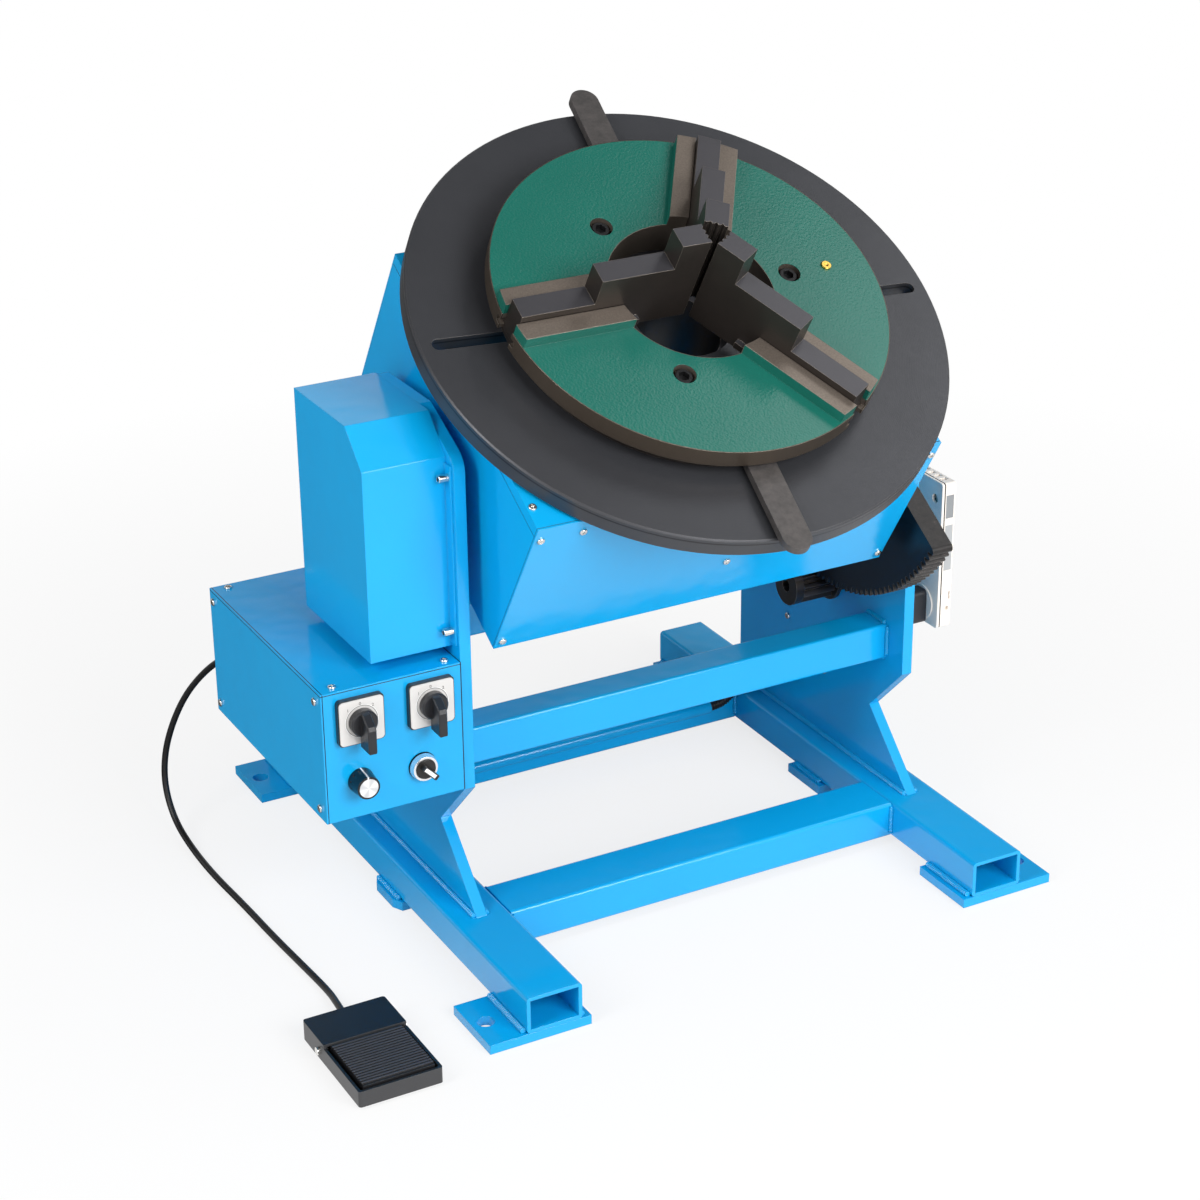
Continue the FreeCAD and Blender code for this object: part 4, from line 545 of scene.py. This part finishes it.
bare = add(tree, "Math", {0: painted, 1: -0.6, 2: 0.6}, operation="MULTIPLY_ADD")
tree.links.new(bare, bsdf.inputs["Metallic"])
dull = add(tree, "Math", {0: painted, 1: -0.12, 2: 0.40}, operation="MULTIPLY_ADD")
tree.links.new(dull, bsdf.inputs["Roughness"])
relief(tree, bsdf, add(tree, "Math", {0: dimples, 1: painted}, operation="MULTIPLY"), 0.00018, edge=0.0009)
give(chuck_paint, "chuck_body")

# ------------------------------------------------------------------ jaws, scroll, pinions and shafts
# Hardened tool steel, milled, ground and blackened in oil. The jaws slide in the chuck's guides
# and are driven by the scroll under them; the shafts are of the same steel.
SPIN_AXIS = (0.0, -math.sin(TILT), math.cos(TILT))
# Oil-black: brown-black flanks, the faces that look along the spin axis painted greyer as painted light from
# above, and bright lines where the edges are worn. The grinding marks are drawn coarser than real.
jaw_steel, tree, bsdf = new_material("oil-blackened tool steel, ground", Metallic=0.5)
level = level_place(tree)
grain = add(tree, "TexNoise", {"Vector": level, "Scale": PER_MM / 1.3, "Detail": 5.0})
cloud = add(tree, "TexNoise", {"Vector": level, "Scale": PER_MM / 35, "Detail": 3.0})
painted_light_on_tops = add(tree, "VectorMath", {0: add(tree, "NewGeometry", {}, "Normal"), 1: SPIN_AXIS}, "Value",
                operation="DOT_PRODUCT")
painted_light_on_tops = add(tree, "Math", {0: painted_light_on_tops, 1: 0.9}, operation="GREATER_THAN")
black = add(tree, "Mix", {0: cloud, 6: linear("#322D2A"), 7: linear("#3E3834")}, 2, data_type="RGBA")
# Painted light: the faces that look along the spin axis are made greyer, as if lit from above.
black = add(tree, "Mix", {0: painted_light_on_tops, 6: black, 7: linear("#4D4C50")}, 2, data_type="RGBA")
black = add(tree, "Mix", {0: worn_edges(tree, 0.0007, 0.9), 6: black, 7: linear("#A89C90")}, 2,
            data_type="RGBA")
tree.links.new(black, bsdf.inputs["Base Color"])
tree.links.new(add(tree, "ValToRGB", {0: grain}, stops=[(0.3, 0.30), (0.7, 0.42)]), bsdf.inputs["Roughness"])
relief(tree, bsdf, grain, 0.00004, edge=0.0006)
give(jaw_steel, "jaw_1", "jaw_2", "jaw_3", "scroll_ring", "tilt_pinion", "rotation_pinion", "spindle",
     "left_trunnion", "right_trunnion", "pinion_bush")

# ------------------------------------------------------------------ chuck screws
# Three M12 socket screws of black-oxide steel hold the chuck to the table. Their heads are sunk in
# counterbores in the chuck's face.
# Black oxide in a deep hole: dark, with only a dull highlight. Its grain is drawn coarser than real.
screw_steel, tree, bsdf = new_material("black-oxide socket screws", Base_Color=linear("#1B1B1D"),
                                       Metallic=0.3, Roughness=0.45)
point = add(tree, "TexCoord", {}, "Object")
grain = add(tree, "TexNoise", {"Vector": point, "Scale": PER_MM / 0.8, "Detail": 3.0})
relief(tree, bsdf, grain, 0.00002, edge=0.0003)
give(screw_steel, "chuck_bolts")

# ------------------------------------------------------------------ scroll levers
# Two flat steel bars with round ends, set into the scroll ring, which they turn by hand. They are
# cut from hot-rolled bar.
# Mill scale, browned: a dull brown-grey with flakes.
bar_steel, tree, bsdf = new_material("hot-rolled flat bar, browned", Metallic=0.45, Roughness=0.44)
level = level_place(tree)
scale = add(tree, "TexNoise", {"Vector": level, "Scale": PER_MM / 9, "Detail": 6.0, "Roughness": 0.65})
brown = add(tree, "ValToRGB", {0: scale}, stops=[(0.3, linear("#4B4948")), (0.62, linear("#5C5857")),
                                                 (0.8, linear("#655E59"))])
tree.links.new(brown, bsdf.inputs["Base Color"])
relief(tree, bsdf, scale, 0.0001, edge=0.001)
give(bar_steel, "scroll_levers")

# ------------------------------------------------------------------ oil nipple
# Small round brass button with a dished middle, turned and then pressed into the chuck's face. The
# scroll is oiled through it.
# Turned brass: yellow and bright. Its tool marks are drawn coarser than real.
brass, tree, bsdf = new_material("turned brass", Base_Color=linear("#D8B65A"), Metallic=1.0, Roughness=0.24)
point = add(tree, "TexCoord", {}, "Object")
grain = add(tree, "TexNoise", {"Vector": point, "Scale": PER_MM / 0.8, "Detail": 3.0})
relief(tree, bsdf, grain, 0.00002, edge=0.0003)
give(brass, "oil_nipple")

# ------------------------------------------------------------------ sector gear
# Flame-cut steel plate with milled teeth, bolted to the cradle's right cheek. It meshes with the
# pinion that comes through the upright.
gear_paint, tree, bsdf = new_material("navy-black paint on plate with milled teeth", Roughness=0.36)
level = level_place(tree)
# Paint on the web: smooth and nearly black, with a navy tint that is a painted reflection of the blue enamel
# around it.
web = add(tree, "SeparateXYZ", {0: add(tree, "NewGeometry", {}, "Normal")}, "X")
web = add(tree, "Math", {0: web}, operation="ABSOLUTE")
web = add(tree, "Math", {0: web, 1: 0.9}, operation="GREATER_THAN")
# Bare cut faces: dark brown with scuffs and lighter edges.
scuffs = add(tree, "TexNoise", {"Vector": level, "Scale": PER_MM / 7, "Detail": 6.0, "Roughness": 0.65})
cut_face = add(tree, "ValToRGB", {0: scuffs}, stops=[(0.35, linear("#272626")), (0.62, linear("#33302F")),
                                                     (0.78, linear("#6B6056"))])
cut_face = add(tree, "Mix", {0: worn_edges(tree, 0.0006, 0.6), 6: cut_face, 7: linear("#8E857B")}, 2,
               data_type="RGBA")
# Painted reflection: the navy tint of the web's black stands for the blue enamel it mirrors.
skin = add(tree, "Mix", {0: web, 6: cut_face, 7: linear("#0A131E")}, 2, data_type="RGBA")
tree.links.new(skin, bsdf.inputs["Base Color"])
bare = add(tree, "Math", {0: web, 1: -0.45, 2: 0.45}, operation="MULTIPLY_ADD")
tree.links.new(bare, bsdf.inputs["Metallic"])
relief(tree, bsdf, scuffs, 0.00010, edge=0.0006)
give(gear_paint, "sector_gear")

# ------------------------------------------------------------------ tilt gear case
# Two die-cast halves screwed together outside the right upright. The front edge of the outer half
# has a blank rating plate and a pressed band.
case_front = lowest("tilt_gear_case").y
case_right = highest("tilt_gear_case").x
case_top = highest("tilt_gear_case").z
FRONT_DEPTH = 0.001
EDGE_LEFT, EDGE_RIGHT = 0.0115, 0.0018
BAND_LOW, BAND_HIGH = 0.100, 0.048
PLATE_LOW, PLATE_HIGH = 0.040, 0.014
PARTING, PARTING_WIDTH = 0.0134, 0.0007
# Blasted aluminium: pale, matt and a little cloudy, with a dark parting line.
cast_grey, tree, bsdf = new_material("light grey die-cast aluminium, bead-blasted", Metallic=0.0,
                                     Roughness=0.62)
point = add(tree, "TexCoord", {}, "Object")
x, y, z = (add(tree, "SeparateXYZ", {0: point}, axis) for axis in "XYZ")
cloud = add(tree, "TexNoise", {"Vector": point, "Scale": PER_MM / 14, "Detail": 4.0})
skin = add(tree, "Mix", {0: cloud, 6: linear("#EFE6DC"), 7: linear("#FBF3EA")}, 2, data_type="RGBA")
on_front = add(tree, "Math", {0: y, 1: case_front + FRONT_DEPTH}, operation="LESS_THAN")
on_edge = add(tree, "Math", {0: x, 1: case_right - (EDGE_LEFT + EDGE_RIGHT) / 2,
                             2: (EDGE_LEFT - EDGE_RIGHT) / 2}, operation="COMPARE")
on_edge = add(tree, "Math", {0: on_front, 1: on_edge}, operation="MULTIPLY")
for low, high, grey in ((BAND_LOW, BAND_HIGH, "#AEB0B1"), (PLATE_LOW, PLATE_HIGH, "#8F9294")):
    in_height = add(tree, "Math", {0: z, 1: case_top - (low + high) / 2, 2: (low - high) / 2},
                    operation="COMPARE")
    mark = add(tree, "Math", {0: on_edge, 1: in_height}, operation="MULTIPLY")
    skin = add(tree, "Mix", {0: mark, 6: skin, 7: linear(grey)}, 2, data_type="RGBA")
parting = add(tree, "Math", {0: x, 1: case_right - PARTING, 2: PARTING_WIDTH}, operation="COMPARE")
skin = add(tree, "Mix", {0: parting, 6: skin, 7: linear("#26282B")}, 2, data_type="RGBA")
tree.links.new(skin, bsdf.inputs["Base Color"])
blasting = add(tree, "TexNoise", {"Vector": point, "Scale": PER_MM / 0.8, "Detail": 3.0})
relief(tree, bsdf, blasting, 0.00006, edge=0.001)
give(cast_grey, "tilt_gear_case")

# ------------------------------------------------------------------ bearings
# Flange bearings of the tilt axis and the spindle's housing and rings, turned from steel and left
# bare under a film of oil.
# Bright turned steel: grey, with soft broad reflections. Its tool marks are drawn coarser than real.
bright_steel, tree, bsdf = new_material("bright turned steel", Base_Color=linear("#A9A7A3"), Metallic=1.0,
                                        Roughness=0.32)
point = add(tree, "TexCoord", {}, "Object")
marks = add(tree, "TexNoise", {"Vector": point, "Scale": PER_MM, "Detail": 3.0})
relief(tree, bsdf, marks, 0.00002, edge=0.0006)
give(bright_steel, "left_flange_bearing", "right_flange_bearing", "spindle_bearings", "spindle_housing")

# ------------------------------------------------------------------ screws and pedal pin
# Pan-head and cap screws that hold the sheets and the covers, and the foot switch's hinge pin.
# Tumbled stainless steel: bright, with small sharp highlights. Its grain is drawn coarser than real.
stainless, tree, bsdf = new_material("polished stainless screws", Base_Color=linear("#DEDDD9"), Metallic=1.0,
                                     Roughness=0.2)
point = add(tree, "TexCoord", {}, "Object")
grain = add(tree, "TexNoise", {"Vector": point, "Scale": PER_MM / 0.6, "Detail": 3.0})
relief(tree, bsdf, grain, 0.00001, edge=0.0003)
give(stainless, "frame_screws", "cradle_screws", "pedal_pin")

# ------------------------------------------------------------------ cam switches
# Two rotary cam switches on the control panel, each with a moulded base and handle and a square aluminium
# plate, printed with the positions 1, 0 and 2. The raised ring round the handle is painted on the plate as a
# grey line of shade inside a white line of highlight.
SWITCH_CENTRES = (-0.375, -0.301)
SWITCH_HEIGHT = 0.295
RING_SHADE_AND_HIGHLIGHT = ((0.0163, 0.0004, "#8E8B88"), (0.0170, 0.0003, "#FAFAF8"))
plate_front = lowest("cam_switch_plates").y
# Satin anodised aluminium: pale grey, lightly brushed across, with lines drawn coarser than real.
switch_plate, tree, bsdf = new_material("satin anodised aluminium plate", Metallic=0.25, Roughness=0.34)
point = add(tree, "TexCoord", {}, "Object")
stretched = add(tree, "Mapping", {"Vector": point, "Scale": (1.0, 1.0, 14.0)})
brush = add(tree, "TexNoise", {"Vector": stretched, "Scale": PER_MM / 1.2, "Detail": 3.0})
face = add(tree, "Mix", {0: brush, 6: linear("#D3D0CD"), 7: linear("#E3E1DE")}, 2, data_type="RGBA")
for centre in SWITCH_CENTRES:
    middle = (centre, plate_front, SWITCH_HEIGHT)
    offset = add(tree, "VectorMath", {0: point, 1: middle}, operation="SUBTRACT")
    away = add(tree, "VectorMath", {0: offset}, "Value", operation="LENGTH")
    # Painted shade and painted highlight of the raised ring round each handle.
    for ring_radius, ring_width, colour in RING_SHADE_AND_HIGHLIGHT:
        on_painted_ring_light = add(tree, "Math", {0: away, 1: ring_radius, 2: ring_width}, operation="COMPARE")
        face = add(tree, "Mix", {0: on_painted_ring_light, 6: face, 7: linear(colour)}, 2, data_type="RGBA")
tree.links.new(face, bsdf.inputs["Base Color"])
relief(tree, bsdf, brush, 0.00002, edge=0.0003)
give(switch_plate, "cam_switch_plates")

# Screen-printing ink: matt dark grey.
ink, tree, bsdf = new_material("grey screen-printing ink", Base_Color=linear("#55524F"), Roughness=0.6)
point = add(tree, "TexCoord", {}, "Object")
grain = add(tree, "TexNoise", {"Vector": point, "Scale": PER_MM / 0.5, "Detail": 3.0})
relief(tree, bsdf, grain, 0.00001)
DIGIT_HEIGHT = 0.0046
INK_DEPTH = 0.00006
INK_LIFT = 0.00004
DIGIT_PLACES = (("1", -0.0140, 0.0125), ("0", -0.0012, 0.0172), ("2", 0.0120, 0.0130))
for which, centre in zip(("left", "right"), SWITCH_CENTRES):
    for digit, across, over in DIGIT_PLACES:
        text = bpy.data.curves.new("position_" + digit, "FONT")
        text.body = digit
        text.size = DIGIT_HEIGHT
        text.extrude = INK_DEPTH
        text.align_x = "CENTER"
        text.materials.append(ink)
        mark = bpy.data.objects.new("%s_position_%s" % (which, digit), text)
        mark.location = (centre + across, plate_front - INK_LIFT, SWITCH_HEIGHT + over)
        mark.rotation_euler = (math.pi / 2, 0, 0)
        scene.collection.objects.link(mark)
        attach(mark, "base")

# Moulded thermoplastic: dark and satin, with a fine grain.
black_plastic, tree, bsdf = new_material("black moulded plastic, satin", Roughness=0.34)
point = add(tree, "TexCoord", {}, "Object")
cloud = add(tree, "TexNoise", {"Vector": point, "Scale": PER_MM / 25, "Detail": 2.0})
black = add(tree, "Mix", {0: cloud, 6: linear("#17181B"), 7: linear("#212226")}, 2, data_type="RGBA")
tree.links.new(black, bsdf.inputs["Base Color"])
grain = add(tree, "TexNoise", {"Vector": point, "Scale": PER_MM / 0.6, "Detail": 3.0})
relief(tree, bsdf, grain, 0.00004, edge=0.0006)
give(black_plastic, "cam_switch_bodies", "left_switch_lever", "right_switch_lever", "cable_gland",
     "speed_potentiometer")

# ------------------------------------------------------------------ speed knob
# Phenolic knob on the potentiometer's shaft, with a white-filled pointer groove on its skirt and a
# thin aluminium cap pressed into its face.
POINTER_HALF_WIDTH = 0.0008
POINTER_START = 0.0098
CAP_HIGHLIGHT_FANS = 4.0
knob_low, knob_high = lowest("speed_knob"), highest("speed_knob")
knob_x = (knob_low.x + knob_high.x) / 2
knob_z = (knob_low.z + knob_high.z) / 2
# Phenolic: black and glossy, with sharp highlights.
knob_plastic, tree, bsdf = new_material("glossy black phenolic knob", Roughness=0.12)
point = add(tree, "TexCoord", {}, "Object")
x = add(tree, "SeparateXYZ", {0: point}, "X")
z = add(tree, "SeparateXYZ", {0: point}, "Z")
in_line = add(tree, "Math", {0: x, 1: knob_x, 2: POINTER_HALF_WIDTH}, operation="COMPARE")
on_skirt = add(tree, "Math", {0: z, 1: knob_z + POINTER_START}, operation="GREATER_THAN")
pointer = add(tree, "Math", {0: in_line, 1: on_skirt}, operation="MULTIPLY")
skin = add(tree, "Mix", {0: pointer, 6: linear("#0B0D12"), 7: linear("#E8E8E8")}, 2, data_type="RGBA")
tree.links.new(skin, bsdf.inputs["Base Color"])
relief(tree, bsdf, add(tree, "TexNoise", {"Vector": point, "Scale": PER_MM / 3, "Detail": 3.0}), 0.00002,
       edge=0.0005)
give(knob_plastic, "speed_knob")

# Spun aluminium: light and dark fans turn about its middle as painted highlights, standing in for what a
# brushed disc reflects.
spun_cap, tree, bsdf = new_material("spun aluminium cap", Metallic=0.35, Roughness=0.28)
offset = add(tree, "VectorMath", {0: add(tree, "TexCoord", {}, "Object"), 1: (knob_x, 0, knob_z)},
             operation="SUBTRACT")
x = add(tree, "SeparateXYZ", {0: offset}, "X")
z = add(tree, "SeparateXYZ", {0: offset}, "Z")
sweep = add(tree, "Math", {0: add(tree, "Math", {0: z, 1: x}, operation="ARCTAN2"), 1: CAP_HIGHLIGHT_FANS},
            operation="MULTIPLY")
painted_highlight_fans = add(tree, "Math", {0: add(tree, "Math", {0: sweep}, operation="SINE"), 1: 0.5, 2: 0.5},
           operation="MULTIPLY_ADD")
# Painted highlight: the light fans are the reflections of the brushed disc, painted into its colour.
silver = add(tree, "Mix", {0: painted_highlight_fans, 6: linear("#CFCFD0"), 7: linear("#F6F6F6")}, 2, data_type="RGBA")
tree.links.new(silver, bsdf.inputs["Base Color"])
grain = add(tree, "TexNoise", {"Vector": offset, "Scale": PER_MM / 0.8, "Detail": 3.0})
relief(tree, bsdf, grain, 0.00001, edge=0.0003)
give(spun_cap, "speed_knob_cap")

# ------------------------------------------------------------------ selector switch
# 22 mm panel selector: a plated ring on a black rubber gasket, clamped from behind, and a moulded
# rotor with a white inlay in its slanting handle.
SELECTOR_MIDDLE = (-0.311, 0.0, 0.227)
HANDLE_LEAN = math.radians(45.0)
GASKET_DEPTH = 0.0022
INLAY_HALF_WIDTH = 0.0019
INLAY_LOW, INLAY_HIGH = -0.0088, 0.0060
INLAY_DEPTH = 0.0168
panel_front = lowest("control_box_chassis").y
# Chrome: mirror-bright at the front; the gasket behind it is black.
chrome, tree, bsdf = new_material("bright chrome ring on black gasket", Metallic=0.75, Roughness=0.2)
point = add(tree, "TexCoord", {}, "Object")
gasket = add(tree, "Math", {0: add(tree, "SeparateXYZ", {0: point}, "Y"), 1: panel_front - GASKET_DEPTH},
             operation="GREATER_THAN")
ring = add(tree, "Mix", {0: gasket, 6: linear("#EDEEEF"), 7: linear("#101114")}, 2, data_type="RGBA")
tree.links.new(ring, bsdf.inputs["Base Color"])
relief(tree, bsdf, add(tree, "TexNoise", {"Vector": point, "Scale": PER_MM / 2, "Detail": 3.0}), 0.00001,
       edge=0.0004)
give(chrome, "selector_bezel")

# Moulded rotor: satin black, with the white inlay flush in the front of the handle.
rotor, tree, bsdf = new_material("black rotor with white handle inlay", Roughness=0.3)
point = add(tree, "TexCoord", {}, "Object")
offset = add(tree, "VectorMath", {0: point, 1: SELECTOR_MIDDLE}, operation="SUBTRACT")
straight = add(tree, "VectorRotate", {"Vector": offset, "Angle": HANDLE_LEAN}, rotation_type="Y_AXIS")
x, y, z = (add(tree, "SeparateXYZ", {0: straight}, axis) for axis in "XYZ")
inlay = add(tree, "Math", {0: x, 1: 0.0, 2: INLAY_HALF_WIDTH}, operation="COMPARE")
in_length = add(tree, "Math", {0: z, 1: (INLAY_LOW + INLAY_HIGH) / 2, 2: (INLAY_HIGH - INLAY_LOW) / 2},
                operation="COMPARE")
inlay = add(tree, "Math", {0: inlay, 1: in_length}, operation="MULTIPLY")
at_front = add(tree, "Math", {0: y, 1: panel_front - INLAY_DEPTH}, operation="LESS_THAN")
inlay = add(tree, "Math", {0: inlay, 1: at_front}, operation="MULTIPLY")
skin = add(tree, "Mix", {0: inlay, 6: linear("#1D1B1A"), 7: linear("#F2F2F0")}, 2, data_type="RGBA")
tree.links.new(skin, bsdf.inputs["Base Color"])
grain = add(tree, "TexNoise", {"Vector": point, "Scale": PER_MM / 0.6, "Detail": 3.0})
relief(tree, bsdf, grain, 0.00003, edge=0.0004)
give(rotor, "selector_lever")

# ------------------------------------------------------------------ motor controller
# Speed controller of the motors, closed inside the control box. Its case is a finned aluminium
# extrusion that carries the heat away.
# Clear-anodised aluminium: pale silver, satin.
anodised, tree, bsdf = new_material("clear-anodised aluminium extrusion", Base_Color=linear("#C9CBCC"),
                                    Metallic=0.8, Roughness=0.38)
point = add(tree, "TexCoord", {}, "Object")
grain = add(tree, "TexNoise", {"Vector": point, "Scale": PER_MM / 1.2, "Detail": 3.0})
relief(tree, bsdf, grain, 0.00003, edge=0.0003)
give(anodised, "motor_controller")

# ------------------------------------------------------------------ motors and spacers
# The tilt motor, the rotation motor and the blocks between the gear case and the upright: cast and
# machined parts in machine paint.
# Semi-gloss machine paint: black with a slight orange peel.
black_paint, tree, bsdf = new_material("black machine paint, semi-gloss", Roughness=0.34)
point = add(tree, "TexCoord", {}, "Object")
cloud = add(tree, "TexNoise", {"Vector": point, "Scale": PER_MM / 30, "Detail": 3.0})
black = add(tree, "Mix", {0: cloud, 6: linear("#1C1D21"), 7: linear("#2A2B30")}, 2, data_type="RGBA")
tree.links.new(black, bsdf.inputs["Base Color"])
peel = add(tree, "TexNoise", {"Vector": point, "Scale": PER_MM / 2.2, "Detail": 3.0})
relief(tree, bsdf, peel, 0.00006, edge=0.001)
give(black_paint, "gear_case_spacers", "tilt_motor", "rotation_motor")

# ------------------------------------------------------------------ foot switch
# Moulded housing with a hood, on four rubber feet, and a ribbed treadle that turns on a steel pin
# through both side walls.
LEATHER_MM = 1.1
SCUFF_DEPTH = 0.0006
# Moulded housing: a dark hood and lighter sides, leather-grained all over.
hood, tree, bsdf = new_material("black moulded plastic housing, grained", Roughness=0.4)
point = add(tree, "TexCoord", {}, "Object")
upward = add(tree, "SeparateXYZ", {0: add(tree, "NewGeometry", {}, "Normal")}, "Z")
upward = add(tree, "Math", {0: upward, 1: 0.7}, operation="GREATER_THAN")
skin = add(tree, "Mix", {0: upward, 6: linear("#3A3A3C"), 7: linear("#12171D")}, 2, data_type="RGBA")
tree.links.new(skin, bsdf.inputs["Base Color"])
leather = add(tree, "TexVoronoi", {"Vector": point, "Scale": PER_MM / LEATHER_MM}, "Distance", feature="F1")
relief(tree, bsdf, leather, 0.00005, edge=0.0007)
give(hood, "pedal_base")

# Moulded treadle: the tops of its ribs are scuffed lighter than the grooves.
tread, tree, bsdf = new_material("black moulded treadle, ribbed", Roughness=0.42)
point = add(tree, "TexCoord", {}, "Object")
tread_face = highest("treadle").z - SCUFF_DEPTH
on_top = add(tree, "Math", {0: add(tree, "SeparateXYZ", {0: point}, "Z"), 1: tread_face},
             operation="GREATER_THAN")
skin = add(tree, "Mix", {0: on_top, 6: linear("#141417"), 7: linear("#3C3C41")}, 2, data_type="RGBA")
tree.links.new(skin, bsdf.inputs["Base Color"])
leather = add(tree, "TexVoronoi", {"Vector": point, "Scale": PER_MM / LEATHER_MM}, "Distance", feature="F1")
relief(tree, bsdf, leather, 0.00004, edge=0.0005)
give(tread, "treadle")

# Rubber: black and matt.
rubber, tree, bsdf = new_material("black rubber feet, matt", Base_Color=linear("#131313"), Roughness=0.7)
point = add(tree, "TexCoord", {}, "Object")
grain = add(tree, "TexNoise", {"Vector": point, "Scale": PER_MM, "Detail": 3.0})
relief(tree, bsdf, grain, 0.00006, edge=0.0005)
give(rubber, "pedal_feet")

# ------------------------------------------------------------------ foot switch cord
# Round rubber cord, 7 mm thick. It leaves the gland behind the control box, falls to the floor in
# one loose bow and runs forward into the rear of the foot switch.
CORD_DIAMETER = 0.007
CORD_ROUTE = [
    (-0.374, 0.144, 0.225), (-0.374, 0.170, 0.225), (-0.379, 0.198, 0.214), (-0.394, 0.223, 0.190),
    (-0.412, 0.241, 0.158), (-0.427, 0.250, 0.121), (-0.437, 0.253, 0.085), (-0.441, 0.248, 0.049),
    (-0.440, 0.226, 0.018), (-0.438, 0.184, 0.0045), (-0.438, 0.118, 0.0035), (-0.433, 0.043, 0.0035),
    (-0.430, -0.032, 0.0035), (-0.425, -0.104, 0.0035), (-0.422, -0.156, 0.0038), (-0.427, -0.190, 0.0086),
    (-0.431, -0.222, 0.012)]
# Rubber sheath: satin black, with a long soft highlight.
sheath, tree, bsdf = new_material("black rubber sheath, satin", Base_Color=linear("#111112"), Roughness=0.42)
point = add(tree, "TexCoord", {}, "Object")
relief(tree, bsdf, add(tree, "TexNoise", {"Vector": point, "Scale": PER_MM / 1.2, "Detail": 3.0}), 0.00004)
cord = soft_line("switch_cord", CORD_ROUTE, 16)
cord.data.bevel_depth = CORD_DIAMETER / 2
cord.data.bevel_resolution = 5
cord.data.materials.append(sheath)
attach(cord, "base")
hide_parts("foot_switch_cord")
